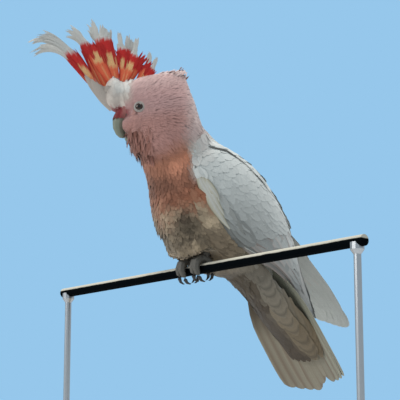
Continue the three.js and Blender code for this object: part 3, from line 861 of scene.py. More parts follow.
def march(roots, region, length, stations, lift_root, lift_tip, disorder):
    """Midlines that run from each root along the lie of the coat, close over the skin."""
    place, normal = on_skin(roots)
    skew = RNG.normal(0, 1, (len(roots), 1)) * disorder
    mids, normals, before = [], [], 0
    step = (length / (stations - 1))[:, None] * MM
    for k in range(stations):
        rise = (lift_root + (lift_tip - lift_root) * (k / (stations - 1)) ** 1.2)[:, None] * MM
        mids.append(place + normal * rise)
        normals.append(normal)
        flow = unit(lie(place, region) + 0.8 * before)
        flow = unit(flow - np.sum(flow * normal, axis=1, keepdims=True) * normal)
        before = flow
        flow = unit(flow + np.cross(normal, flow) * skew)
        ahead = place + flow * step
        place, fresh = on_skin(ahead)
        past = (body_coords(ahead)[0] > FLESH_END)[:, None]
        place, normal = np.where(past, ahead, place), np.where(past, normal, fresh)
    return np.stack(mids, 1), np.stack(normals, 1)


COAT_SHAPES = {  # half widths, by the number of stations
    4: [0.5, 1.0, 0.9, 0.4], 5: [0.45, 0.9, 1.0, 0.85, 0.45], 6: [0.3, 0.7, 0.95, 1.0, 0.9, 0.62],
}


def body_coat():
    roots = scatter(root_spacing, COAT_TRIES)
    region = nearest_node(roots)
    t, d, l, f, s, z = body_coords(roots)
    gap, _ = eye_distance(roots)
    hidden = (on_wing(roots) > 0.5) | under_wing(roots) | (t > COAT_END) | (gap < 6.4)
    roots, region = roots[~hidden], region[~hidden]
    t, d, l, f, s, z = body_coords(roots)
    length = feather_length(roots) * RNG.uniform(0.85, 1.15, len(roots))
    thigh = np.char.endswith(region, "thigh")
    to_foot = np.min([np.linalg.norm(roots - FOOT[side], axis=1) for side in FOOT], axis=0) / MM
    length = np.where(thigh, np.minimum(length, np.clip(to_foot - 12, 3, 13)), length)
    gap, to_eye = eye_distance(roots)
    heading = np.sum(lie(roots, region) * to_eye, axis=1)
    length = np.where((gap < 16) & (heading > 0.2), np.clip(gap - 6.0, 1.6, length), length)
    depth = coat_depth(roots)
    bake = unwrap(roots)
    clump = uneven(roots, 16, 9.0)
    belly = smooth(t, 96, 124)
    pieces = {
        "coat_crown": (t < 36) & ~thigh & (z + 0.3 * f > 6),
        "coat_face": (t < 36) & ~thigh & (z + 0.3 * f <= 6),
        "coat_neck": (t >= 36) & (t < 72) & ~thigh,
        "coat_breast": (t >= 72) & (t < 112) & ~thigh,
        "coat_belly": (t >= 112) & ~thigh,
        "coat_thighs": thigh,
    }
    made = []
    for name, mask in pieces.items():
        if not mask.any():
            continue
        small = name in ("coat_crown", "coat_face")
        stations, across = {True: (4, 2), False: (6, 4)}[small]
        if name == "coat_neck":
            stations, across = 5, 4
        shape = COAT_SHAPES[stations]
        share = belly[mask]
        tip = depth[mask] * (0.62 + 0.38 * smooth(t[mask], 40, 90)) + share * (0.5 + 1.2 * clump[mask])
        tip = tip + 1.6 * smooth(-l[mask], -4, 14) * smooth(t[mask], 76, 96) * (1 - smooth(t[mask], 120, 140))
        tip = np.where(t[mask] > 100, np.minimum(tip, 0.16 * length[mask]), tip)
        loose_lie = 0.07 + 0.08 * smooth(t[mask], 60, 110)[:, None]
        mid, nrm = march(roots[mask], region[mask], length[mask], stations, 0.1 * depth[mask], tip, loose_lie)
        slim = {"coat_crown": 0.24, "coat_face": 0.24, "coat_neck": 0.34}.get(name, 0.38)
        wide = length[mask] * (slim - 0.06 * share) * MM
        base = plumage(mid[:, (2 * stations) // 3]) * RNG.uniform(0.95, 1.05, (mask.sum(), 1))
        base = base * (1 + 0.10 * share * clump[mask])[:, None]

        def tint(u, v, base=base, share=share):
            shade = 0.88 + (0.16 - 0.08 * share[:, None]) * u[None, :] - 0.05 * np.abs(v)[None, :]
            return base[:, None, :] * shade[..., None]

        made.append(build_vanes(name, mid, nrm, wide, shape, across, tint, fitted(bake[mask]),
                                ragged=0.25 if name != "coat_belly" else 0.35, soft=0.9))
    return made


# ---------------------------------------------------------------- wing feathers
def flight_lengths(sheet, w):
    """How far aft each flight feather ends at w across the wing."""
    return sheet["end"] - 1.5 - sheet["slant"] * (2 * w - 1) ** 2


def along_sheet(sheet, root_t, tip_t, root_w, tip_w, out_root, out_tip, stations, ease=1.0):
    u = np.linspace(0, 1, stations)[None, :]
    t = root_t[:, None] + (tip_t - root_t)[:, None] * u
    w = root_w[:, None] + (tip_w - root_w)[:, None] * u
    out = out_root[:, None] + (out_tip - out_root)[:, None] * np.minimum(1, u / ease)
    place = sheet["place"]
    mid = place(t, w, out)
    across = place(t, w + 0.02, out) - place(t, w - 0.02, out)
    along = place(t + 1, w, out) - place(t - 1, w, out)
    normal = unit(np.cross(across, along))
    radial = mid - torso(t, 0 * t, 0 * t)
    facing = np.sign(np.sum(normal * radial, axis=-1, keepdims=True))
    return mid, normal * facing


def wing_bake(sheet, root_t, root_w, cell):
    """Each feather's middle on the wing's own unwrap: across the wing, and along it."""
    spot = np.stack([np.clip(root_w, -0.05, 1.05), root_t / MAP_LENGTH], -1)
    return fitted(spot, cell, 1 - cell)


def painted_wing_shade(name, w, t):
    """Painted shade: the wing is darker along its lower edge and towards its tip; a negative amount paints light
    instead.
    """
    most = WING_PAINTED_SHADE[name.split("_")[0]]
    along_edge = 0.85 * smooth(t, 75, 180) * (1 - smooth(w, 0.0, 0.95))
    along_edge = along_edge + 0.35 * smooth(t, 100, 140) * (1 - smooth(w, 0.0, 0.22))
    return (1 - most * along_edge) * (1 - 0.7 * most * smooth(t, 165, 285))


def wing_coverts(name, sheet):
    """White feathers in staggered rows that slant back over the shoulder and lengthen towards the tail."""
    root_t, root_w, size = [], [], []
    for r in range(15):
        start, long = 43 + 5.6 * r, 12 + 24 * (r / 14) ** 1.7
        wide = long * mix_value(0.62, 0.4, r / 14) + 2
        count = max(4, int(round(sheet["arc"](start) / (0.48 * wide))))
        w = (np.arange(count) + 0.5 + 0.5 * (r % 2) + RNG.normal(0, 0.08, count)) / count
        root_w.append(w)
        root_t.append(start + 34 * np.clip(w, 0, 2) ** 1.2 * smooth(start, 44, 96) + RNG.normal(0, 1.1, count))
        size.append(np.full(count, long))
    root_t, root_w, size = (np.concatenate(x) for x in (root_t, root_w, size))
    wide = (size * mix_value(0.66, 0.42, smooth(size, 12, 36)) + 2) * MM
    size = size * RNG.uniform(0.88, 1.12, len(size))
    keep = (root_w > 0.005) & (root_w < 0.995)
    root_t, root_w, size, wide = root_t[keep], root_w[keep], size[keep], wide[keep]
    deep = np.full(len(root_t), -0.95)
    mid, nrm = along_sheet(sheet, root_t, root_t + size, root_w, root_w + 0.02, deep, 0.0 * deep, 7)
    base = plumage(mid[:, 0], wing=np.ones(len(root_t))) * RNG.uniform(0.97, 1.02, (len(root_t), 1))
    base = mix(base, plumage(mid[:, 3], wing=np.zeros(len(root_t))), 0.6 * (1 - smooth(root_t, 44, 62)))
    # painted shade on the coverts: darker along the wing's lower edge and towards its tip
    base = base * painted_wing_shade(name, root_w, root_t + size)[:, None]

    def tint(u, v):
        rim = np.maximum(smooth(np.abs(v), 0.72, 1), smooth(u, 0.86, 1))
        shade = 0.97 - 0.035 * smooth(u, 0.5, 0.85) * (1 - rim) + 0.015 * rim
        return base[:, None, :] * shade[None, :, None]

    bake = wing_bake(sheet, root_t, root_w, 0.01)
    shape = [0.45, 0.75, 0.95, 1.0, 1.0, 0.92, 0.72]
    return build_vanes(name, mid, nrm, wide, shape, 4, tint, bake, ragged=0.03, rounding=0.8, camber=0.03,
                       thick=0.1, soft=0.9)


def wing_flights(name, sheet):
    """Primaries below and secondaries above them, each lapped by the next towards the back."""
    w1 = np.linspace(0.06, 0.93, 10)
    end1 = flight_lengths(sheet, w1)
    w2 = np.linspace(0.22, 0.96, 9)
    end2 = sheet["end"] - 40 - 52 * np.linspace(0, 1, 9) ** 1.2
    root_t = np.concatenate([np.full(10, 128.0), 132 + 34 * w2])
    tip_t = np.concatenate([end1, end2])
    root_w = np.concatenate([0.04 + 0.72 * w1, w2])
    tip_w = np.concatenate([w1, w2])
    level = np.concatenate([-1.4 + 0.6 * w1, -1.0 + 0.6 * w2])
    mid, nrm = along_sheet(sheet, root_t, tip_t, root_w, tip_w, level - 0.7, level, 18, ease=0.4)
    wide = np.concatenate([np.full(10, 15.0), np.full(9, 20.0)]) * MM
    count = len(root_t)
    base = plumage(mid[:, 9], wing=np.ones(count)) * RNG.uniform(0.97, 1.03, (count, 1))
    blush = COLOUR["wing_lining"]

    def tint(u, v):
        rim = smooth(np.abs(v), 0.8, 1)
        shade = 0.93 - 0.035 * np.sign(v) * smooth(np.abs(v), 0.1, 0.5) + 0.05 * rim
        reach = root_t[:, None] + (tip_t - root_t)[:, None] * u
        across = root_w[:, None] + (tip_w - root_w)[:, None] * u
        # painted shade on the flight feathers along the lower edge and towards the tip
        grey = painted_wing_shade(name, across, reach)
        c = base[:, None, :] * (shade[None, :] * grey)[..., None]
        lining = 0.30 * smooth(np.abs(v), 0.55, 0.95) * (1 - smooth(u, 0.6, 0.95))
        return mix(c, blush, np.tile(lining, (count, 1)))

    bake = np.stack([(np.arange(count) + 0.5) / count, np.full(count, 0.5)], -1)
    shape = 0.62 + 0.38 * np.sin(np.linspace(0.1, 2.2, 18)) ** 0.7
    return build_vanes(name, mid, nrm, wide, shape, 6, tint, bake, ragged=0.0, rounding=0.9, thick=0.35,
                       patch=(0.8 / count, 0.8), camber=0.06, tip_from=0.86, soft=0.4)


def alula(name, sheet):
    """The few small cream quills at the bend of the wing."""
    k = np.arange(3)
    root_t, tip_t = 75 + 1.5 * k, np.array([133, 118, 104.0])
    root_w, tip_w = 0.005 + 0.03 * k, 0.035 + 0.028 * k
    out = 2.3 - 0.3 * k
    mid, nrm = along_sheet(sheet, root_t, tip_t, root_w, tip_w, out - 1.8, out, 10, ease=0.5)
    base = np.tile(COLOUR["alula"], (3, 1))

    def tint(u, v):
        pale = mix(base[:, None, :] * np.ones((1, len(u), 1)), COLOUR["mantle"], np.tile(1 - np.abs(v), (3, 1)))
        # painted shadow: the quills are darker along their edges
        return pale * (0.82 - 0.3 * smooth(np.abs(v), 0.86, 1))[None, :, None]

    bake = np.stack([(k + 0.5) / 3, np.full(3, 0.5)], -1)
    shape = [0.6, 0.85, 1, 1, 0.95, 0.85, 0.72, 0.56, 0.38, 0.14]
    return build_vanes(name, mid, nrm, np.array([10.0, 9.0, 8.0]) * MM, shape, 6, tint, bake, rounding=0.6,
                       thick=0.4, patch=(0.25, 0.8), camber=0.12, tip_from=0.8)


# where the painted shadow line runs: mm aft, and degrees from the back's middle line
SLIT_SHADOW_LINE = [(55, 84), (62, 73), (70, 62.5), (80, 58.5), (91, 53), (104, 50.5), (116, 46), (132, 41)]


def scapular_shadow(name, sheet):
    """A dark sheet that paints the shadow in the gap where the long shoulder feathers part from the wing."""
    u = np.linspace(0, 1, 26)
    t = 55 + 77 * u
    place = sheet["place"]
    w = sheet["across"](t, np.interp(t, *np.array(SLIT_SHADOW_LINE).T))
    mid = place(t, w, 0.35)[None]
    aside = place(t, w + 0.02, 0) - place(t, w - 0.02, 0)
    normal = unit(np.cross(aside, np.gradient(mid[0], axis=0)))
    normal = normal * np.sign(np.sum(normal * (mid[0] - torso(t, 0 * t, 0 * t)), axis=1, keepdims=True))

    def tint(u, v):
        return np.tile(COLOUR["slit_shadow"], (1, len(u), 1))

    shape = (0.7 + 0.3 * np.sin(9 * u)) * smooth(u, -0.1, 0.1) * (1 - smooth(u, 0.75, 1.05))
    return build_vanes(name, mid, normal[None], np.array([2.8 * MM]), shape, 2, tint, np.full((1, 2), 0.5),
                       rounding=0, camber=0, thick=0.15, patch=(0.8, 0.8), soft=0.9)


def flank_fan(name, sheet):
    """Soft breast and flank feathers that fold up over the wing's lower edge."""
    count = 460
    root_t, root_w = RNG.uniform(80, 154, count), RNG.uniform(-0.17, -0.02, count)
    size = RNG.uniform(8, 12, count)
    root_w = root_w - 0.03 * smooth(root_t, 120, 150)
    out = RNG.uniform(0.3, 1.4, count)
    tip_w = np.minimum(root_w + RNG.uniform(0.02, 0.06, count), -0.01)
    mid, nrm = along_sheet(sheet, root_t, root_t + size, root_w, tip_w,
                           out - 1.0, out, 7, ease=0.6)
    base = plumage(mid[:, 2] + AFT * 0.009 - DORSAL * 0.012, wing=np.zeros(count))
    # painted shade: the flank feathers darken towards the back, under the wing
    base = mix(base, COLOUR["vent_shade"], RNG.uniform(0.3, 0.7, count) * smooth(root_t, 108, 136))
    base = base * RNG.uniform(0.9, 1.12, (count, 1))

    def tint(u, v):
        return base[:, None, :] * (0.9 + 0.16 * u)[None, :, None]

    return build_vanes(name, mid, nrm, size * 0.36 * MM, [0.4, 0.75, 0.95, 1.0, 1.0, 0.9, 0.66], 4, tint,
                       wing_bake(sheet, root_t, root_w, 0.01), ragged=0.3, rounding=0.8, camber=0.04, thick=0.12,
                       soft=0.85)


# ---------------------------------------------------------------- tail and its coverts
def tail_feathers():
    """Ten broad feathers in two lobes, the outer ones lapped under the middle pair."""
    count = 10
    share = ((np.arange(count) + 0.5) / (count / 2) - 1) * 0.92
    u = np.linspace(0, 1, 12)[None, :]
    short = 16 * share ** 2 + 9 * (share > 0) + 14 * np.maximum(0, 1 - np.abs(share) * 4.5)
    along = u * (TAIL["length"] - short)[:, None]
    angle = share[:, None] * TAIL["fan"]
    half = TAIL["half"] * (0.6 + 0.4 * smooth(along, 0, 70))
    left = along * np.sin(angle) + share[:, None] * half
    stack = 1.8 * (1 - np.abs(share))[:, None] - 0.6
    aft = TAIL["root"] + along * np.cos(angle)
    mid = torso(aft, 19 - 0.004 * left * left + stack, left + tail_shift(aft))
    nrm = np.broadcast_to(DORSAL, mid.shape) + 0.012 * left[..., None] * LEFT
    base = np.tile(COLOUR["tail_feather"], (count, 1)) * RNG.uniform(0.92, 1.06, (count, 1))
    base = base * (1 + smooth(share, 0.2, 0.6)[:, None] * (0.2, 0.34, 0.36))
    overlap_shade = COLOUR["tail_overlap_shade"]

    def tint(u, v):
        outer = smooth(np.abs(v), 0.35, 0.75)
        line = smooth(np.abs(v), 0.9, 1)
        c = base[:, None, :] * (0.98 + 0.03 * smooth(u, 0.85, 1) - 0.06 * outer)[None, :, None]
        # painted shade along each feather's outer part, where the next one laps over it
        c = mix(c, overlap_shade, np.tile(0.6 * outer * (1 - line) * smooth(u, 0.1, 0.8), (count, 1)))
        # painted shade: the root of the tail is darker on the bird's right, like the undertail
        c = mix(c, COLOUR["vent_shade"], 0.85 * smooth(-share, 0.1, 0.6)[:, None] * (1 - smooth(u, 0.3, 0.6))[None, :])
        return c * (1 + 0.2 * line)[None, :, None]

    bake = np.stack([(np.arange(count) + 0.5) / count, np.full(count, 0.5)], -1)
    shape = [0.5, 0.62, 0.74, 0.82, 0.9, 0.95, 1, 1, 1, 0.98, 0.92, 0.8]
    return build_vanes("tail_feathers", mid, unit(nrm), np.full(count, 23.0) * MM, shape, 6, tint, bake,
                       rounding=0.8, thick=0.4, patch=(0.085, 0.8), camber=0.04, tip_from=0.88)


COVERT_COLUMNS = (-1.2, -0.88, -0.62, -0.32, 0.0, 0.88, 0.46)  # across the underside, the large ones last
COVERT_ROWS = [  # mm aft, lowest point, half width
    (150, -30, 22), (184, -19, 25), (205, -13, 29), (225, -8, 32), (250, -2, 34), (275, 5, 32), (292, 10, 28),
    (312, 14, 24),
]


def under_sheet(t, x, out):
    """A point of the underside at t mm aft and x from -1 to 1 across, out mm below the face of the solid."""
    t, x = np.broadcast_arrays(np.asarray(t, float), np.asarray(x, float))
    rows = np.array(COVERT_ROWS).T
    low, half = np.interp(t, rows[0], rows[1]), np.interp(t, rows[0], rows[2])
    drop = (15 - low) * np.sqrt(np.maximum(1 - x * x, 0)) + out
    return torso(t, 15 - drop, tail_shift(t) + x * half)


def tail_coverts():
    """Long rounded feathers with darker U-shaped rims, in staggered rows under the root of the tail."""
    roots = []
    for t in np.arange(150, 276, 11.0):
        for k, x in enumerate(COVERT_COLUMNS):
            roots.append((t + 5 * (k % 2) + RNG.normal(0, 1.4), x + RNG.normal(0, 0.03)))
    root_t, x = np.array(roots).T
    middle = np.isclose(np.tile(COVERT_COLUMNS, len(x) // len(COVERT_COLUMNS)), COVERT_COLUMNS[-1])
    x = x + covert_lean(root_t)
    kept = x > -0.97
    root_t, x, middle = root_t[kept], np.minimum(x[kept], 0.9), middle[kept]
    wide = np.interp(np.abs(x), [0.5, 0.9], [18.0, 9.0]) + 7.0 * middle
    size = (36 + 0.06 * (root_t - 176)) * RNG.uniform(0.9, 1.08, len(root_t))
    size = np.minimum(size, 313 - 5 * x * x - root_t)
    stations = 10
    u = np.linspace(0, 1, stations)[None, :]
    t = root_t[:, None] + size[:, None] * u
    across = np.clip(x[:, None] + covert_lean(t) - covert_lean(root_t)[:, None], -0.97, 0.92)
    out = -1.4 + 1.4 * u + 0.6 * middle[:, None]
    mid = under_sheet(t, across, out)
    ahead = under_sheet(t + 2, across, out) - under_sheet(t - 2, across, out)
    aside = under_sheet(t, np.minimum(across + 0.05, 0.999), out)
    aside = aside - under_sheet(t, np.maximum(across - 0.05, -0.999), out)
    normal = unit(np.cross(aside, ahead))
    normal = normal * np.sign(-(normal @ DORSAL))[..., None]
    base = vent_colour(mid[:, 6]) * RNG.uniform(0.92, 1.08, (len(root_t), 1))

    def tint(u, v):
        edge = np.maximum(smooth(np.abs(v), 0.9, 1), smooth(u, 0.96, 1))
        reach = u + 0.22 * v * v
        ring = smooth(reach, 0.82, 0.88) * (1 - edge)
        inner = smooth(reach, 0.60, 0.66) * (1 - smooth(reach, 0.68, 0.74))
        strength = np.where(middle, 1.0, 0.55)[:, None]
        fresh = smooth(root_t, 150, 190)[:, None]
        shade = 1 + strength * fresh * (0.12 - 0.42 * ring - 0.12 * inner)[None, :]
        return base[:, None, :] * shade[..., None]

    spot = np.stack([x, root_t / MAP_LENGTH], -1)
    shape = [0.4, 0.62, 0.8, 0.92, 1.0, 1.0, 1.0, 0.96, 0.84, 0.62]
    return build_vanes("tail_coverts", mid, normal, wide * MM, shape, 8, tint,
                       fitted(spot, 0.02, 0.98), ragged=0.04, rounding=0.9, camber=0.05, thick=0.2,
                       patch=(0.02, 0.02), tip_from=0.6, soft=0.6)


# ---------------------------------------------------------------- crest
CREST_FEATHERS = [  # the midline's four points, forward and up: root, end of the red, bend of the tip, tip;
    # then the red part's width, the white tip's width, the length of the red and of the yellow patch
    (48, 10, 86, 54.2, 106, 66.5, 128, 61.5, 10, 7.0, 15, 16),
    (48, 10, 86, 55.2, 101, 68.5, 114, 75, 9, 6.0, 15, 16),
    (48, 10, 86, 54.8, 104, 67.5, 121, 69, 9, 7.0, 15, 16),
    (46, 15, 73, 66, 82, 76, 93, 80, 9, 3.5, 15, 4),
    (46, 15, 70, 66, 78, 77, 87, 85, 9, 4.0, 13, 0),
    (40, 20, 57, 69, 61, 81, 66, 93, 9, 4.5, 14, 0),
    (40, 20, 58, 69, 63, 79, 70, 87, 7, 4.0, 14, 0),
    (39, 20, 51, 70, 53, 79, 54, 86, 13, 9.0, 15, 16),
    (39, 20, 48, 69, 47, 76, 48, 83, 8, 6.0, 17, 0),
    (36, 22, 34, 61, 36, 70, 37, 79, 12, 4.5, 10, 12),
    (34, 22, 29, 60, 28, 69, 28, 78, 8, 4.5, 14, 0),
    (31, 22, 22, 55, 20, 64, 19, 72, 11, 4.5, 8, 9),
    (32, 22, 26, 57, 24, 66, 25, 74, 7, 4.0, 12, 0),
    (19, 22, 8, 44, 6, 53, 7, 61, 10, 4.0, 7, 6),
    (17, 23, 3, 42, 0, 49, -1, 55, 8, 3.5, 9, 0),
]
RED_FEATHERS = [  # the same for those without a white tip
    (41, 20, 58, 50, 62, 59, 65, 67, 13, 3, 11, 13),
    (29, 22, 19, 41, 14, 50, 9, 57, 8, 2, 20, 0),
    (20, 22, 10, 40, 6, 46, 3, 50, 8, 2, 12, 0),
]
CREAM_FEATHERS = [  # and for the cream ones along the front of the crest's foot
    (43, -3, 55.5, 10, 64, 20.5, 72, 30.5, 7, 3, 1, 0),
    (43, 0, 53, 10, 59, 17, 64.5, 24.5, 9, 4, 1, 0),
    (42, 1, 51, 10, 56, 17, 61, 23, 11, 4, 1, 0),
    (40, 2, 47, 10, 51, 15, 55, 19.5, 12, 5, 1, 0),
    (39, 4, 43, 11, 46.5, 15, 50, 19, 12, 6, 1, 0),
]


def through(points, knots, u):
    """A smooth curve that passes four points at its knots."""
    line = np.zeros(u.shape + (2,))
    for i in range(4):
        weight = np.ones_like(u)
        for j in range(4):
            if j != i:
                weight = weight * (u - knots[:, j, None]) / (knots[:, i, None] - knots[:, j, None])
        line += weight[..., None] * points[:, i][:, None, :]
    return line


def crest_feathers():
    """Two layers of tall crest feathers in clusters, and the frayed tips and barbs at their edges."""
    front = np.array(CREST_FEATHERS + RED_FEATHERS + CREAM_FEATHERS, float)
    kind = np.repeat([0, 1, 2], [len(CREST_FEATHERS), len(RED_FEATHERS), len(CREAM_FEATHERS)])
    behind = front[kind < 2].copy()
    behind[:, 2:8:2] = behind[:, :1] + (behind[:, 2:8:2] - behind[:, :1]) * 0.95
    behind[:, 3:8:2] = behind[:, 1:2] + (behind[:, 3:8:2] - behind[:, 1:2]) * 0.93
    table, kind = np.concatenate([front, behind]), np.concatenate([kind, kind[kind < 2]])
    count = len(table)
    every = np.arange(count)
    second = every >= len(front)
    points = table[:, :8].reshape(count, 4, 2)
    gaps = np.linalg.norm(np.diff(points, axis=1), axis=-1)
    total = gaps.sum(axis=1)
    knots = np.concatenate([np.zeros((count, 1)), np.cumsum(gaps, axis=1) / total[:, None]], axis=1)
    edge = np.where(kind == 0, knots[:, 1], np.where(kind == 1, 2.0, -1.0))
    red_end = np.where(kind == 1, 1.0, knots[:, 1])
    side = np.where(table[:, 11] > 7, 0.5, -0.3) + 0.07 * (every % 3)
    side = np.where(second, -1.2 - side, side)
    side = np.where(kind == 2, 1.1 + 0.25 * (every % 5), side)

    def path(u, which, drift=0.0):
        u = np.broadcast_to(u, (len(which), np.shape(u)[-1]))
        line = through(points[which], knots[which], u)
        ahead = through(points[which], knots[which], u + 0.01) - line
        rise = unit(np.stack([-ahead[..., 1], ahead[..., 0]], -1))
        line = line + rise * np.broadcast_to(drift, u.shape)[..., None]
        return head(line[..., 0], side[which, None] * (6 * u ** 1.4 + 1.5), line[..., 1])

    stations = 26
    k = np.linspace(0, 1, stations)
    mid = path(k[None, :], every)
    twist = RNG.normal(0, 0.2, (count, 1, 1)) * np.ones((count, stations, 1))
    nrm = unit(FACE_LEFT[None, None, :] + twist * UP + 0.15 * side[:, None, None] * FACE)
    white, red, yellow, orange = (COLOUR["crest_" + c] for c in ("white", "red", "yellow", "orange"))
    cream = COLOUR["forehead"]
    pale = RNG.uniform(0.95, 1.03, (count, 1, 1))
    wave = RNG.uniform(-1, 1, (count, 1))
    red_share, gold_share = table[:, 10, None] / total[:, None], table[:, 11, None] / total[:, None]
    leading = np.isin(every, (0, 1, 2))[:, None]

    def tint(u, v):
        comb = 0.016 * np.sin(v * 23)[None, :] + 0.016 * np.sin(v * 9 + 2)[None, :]
        uu = u[None, :] + comb + 0.012 * wave
        low = red_end[:, None] - red_share
        floor_of_gold = low - gold_share
        rim = smooth(np.abs(v), 0.62, 0.95)[None, :]
        c = mix(np.broadcast_to(orange, (count, len(u), 3)), red, 0.75 * rim * np.ones_like(uu))
        streak = (1 - smooth(np.abs(v), 0.05, 0.3))[None, :] * (1 - smooth(uu - floor_of_gold, -0.1, 0))
        c = mix(c, yellow, 0.5 * streak)
        gold = smooth(uu - floor_of_gold, -0.02, 0.05) * (1 - smooth(uu + 0.05 * v[None, :] ** 2 - low, -0.03, 0.02))
        c = mix(c, yellow, gold * (1 - rim))
        c = mix(c, red, smooth(uu + 0.05 * v[None, :] ** 2 - low, -0.02, 0.02))
        c = mix(c, cream, leading * (1 - smooth(uu, 0.20, 0.27)))
        c = mix(c, white, smooth(uu - edge[:, None], -0.02, 0.02) * (kind == 0)[:, None])
        c = mix(c, cream, np.ones_like(uu) * (kind == 2)[:, None])
        return c * pale

    body = 0.35 + 0.65 * np.sin(np.clip(k[None, :] / (0.75 * red_end[:, None]), 0, 1) * np.pi / 2) ** 1.2
    body = np.where(kind[:, None] == 2, 0.8 + 0.2 * smooth(k[None, :], 0, 0.3), body)
    slim = (table[:, 9] / table[:, 8])[:, None]
    start = np.where(kind == 0, knots[:, 1] - 0.06, 0.62)[:, None]
    reach = np.where(kind == 0, 0.14, 0.38)[:, None]
    shape = mix_value(body, slim, smooth((k[None, :] - start) / reach, 0, 1))
    shape = shape * (1 - 0.25 * smooth(k, 0.9, 1)[None, :])
    bake = np.stack([(every + 0.5) / count, np.full(count, 0.5)], -1)
    blades = build_vanes("crest_feathers", mid, nrm, table[:, 8] * MM, shape, 8, tint, bake, ragged=0.22,
                         rounding=0.3, thick=0.25, patch=(0.8 / count, 0.85), camber=0.16, tip_from=0.8)
    # white wisps at the tips, and thin red barbs along the edges of the coloured part
    tipped = every[kind == 0]
    tall = np.repeat(tipped, 3)
    barbed = np.repeat(every[(kind < 2) & ~second], 6)
    which = np.concatenate([tall, barbed])
    total_wisps = len(which)
    is_red = np.arange(total_wisps) >= len(tall)
    start = np.where(is_red, red_end[which] * RNG.uniform(0.45, 0.72, total_wisps),
                     red_end[which] + RNG.uniform(0.03, 0.12, total_wisps))
    end = np.where(is_red, red_end[which] * RNG.uniform(0.94, 1.03, total_wisps),
                   RNG.uniform(0.88, 1.02, total_wisps))
    u = np.linspace(0, 1, 8)[None, :]
    fan = np.concatenate([np.tile([-1.0, 0.0, 1.0], len(tipped)), np.tile([-1.0, 1.0], len(barbed) // 2)])
    fan = (fan + RNG.normal(0, 0.2, total_wisps))[:, None]
    spread = np.where(is_red, 0.46 * table[which, 8], 0.30 * table[which, 9])[:, None]
    drift = fan * spread * (0.7 + 0.5 * u ** 1.5)
    at = start[:, None] + (end - start)[:, None] * u
    line = path(at, which, drift) + FACE_LEFT * (0.5 * MM * side[which])[:, None, None]
    face = unit(FACE_LEFT + RNG.normal(0, 0.12, (total_wisps, 1, 1)) * UP) * np.ones((total_wisps, 8, 1))

    def wisp_tint(u, v):
        c = np.where(is_red[:, None], red * 0.9, white)
        return np.broadcast_to(c[:, None, :], (total_wisps, len(u), 3)) * pale[which]

    bake = np.stack([(np.arange(total_wisps) + 0.5) / total_wisps, np.full(total_wisps, 0.5)], -1)
    slim = np.where(is_red, RNG.uniform(1.0, 1.8, total_wisps), RNG.uniform(2.0, 3.2, total_wisps)) * MM
    wisps = build_vanes("crest_wisps", line, face, slim, [0.4, 0.8, 1, 1, 0.95, 0.8, 0.55, 0.2], 4, wisp_tint,
                        bake, ragged=0.2, rounding=0.4, thick=0.15, patch=(0.8 / total_wisps, 0.6), camber=0.1)
    return blades, wisps


# ---------------------------------------------------------------- loose feathers of the head
def head_roots(f_range, s_range, z_range, count):
    """Random roots on both sides of the head's skin, between limits in the head's own axes."""
    points = []
    for _ in range(count):
        f, s, z = (RNG.uniform(*r) for r in (f_range, s_range, z_range))
        side = RNG.choice([-1, 1])
        hit = SKIN_TREE.find_nearest(Vector(head(f, side * s, z)))[0]
        points.append(hit)
    return np.array(points)


def loose(name, roots, aim, length, width, lift, colour, curl, shade=(0.8, 0.25), across=4, disorder=0.18):
    """Soft feathers that leave the skin towards aim and curve back to it."""
    stations = 7
    place, normal = on_skin(roots)
    aim = unit(aim + RNG.normal(0, disorder, aim.shape))
    mids, normals = [], []
    step = (length / (stations - 1))[:, None] * MM
    spot = place + normal * 0.3 * MM
    for k in range(stations):
        mids.append(spot)
        normals.append(normal)
        u = k / (stations - 1)
        go = unit(aim - np.sum(aim * normal, 1, keepdims=True) * normal * (1 - curl) + normal * lift * (1 - 1.6 * u))
        spot = spot + go * step
        near, fresh = on_skin(spot)
        gap = np.sum((spot - near) * fresh, axis=1, keepdims=True)
        spot = np.where(gap < 0.4 * MM, near + fresh * (0.4 + 0.5 * u) * MM, spot)
        normal = unit(0.5 * normal + 0.5 * fresh)
    base = colour * RNG.uniform(0.92, 1.08, (len(roots), 1))

    def tint(u, v):
        return base[:, None, :] * (shade[0] + shade[1] * u)[None, :, None]

    bake = fitted(unwrap(roots))
    return build_vanes(name, np.stack(mids, 1), np.stack(normals, 1), width * MM, [0.4, 0.8, 1, 1, 0.9, 0.7, 0.4],
                       across, tint, bake, ragged=0.3, thick=0.12, soft=0.85)


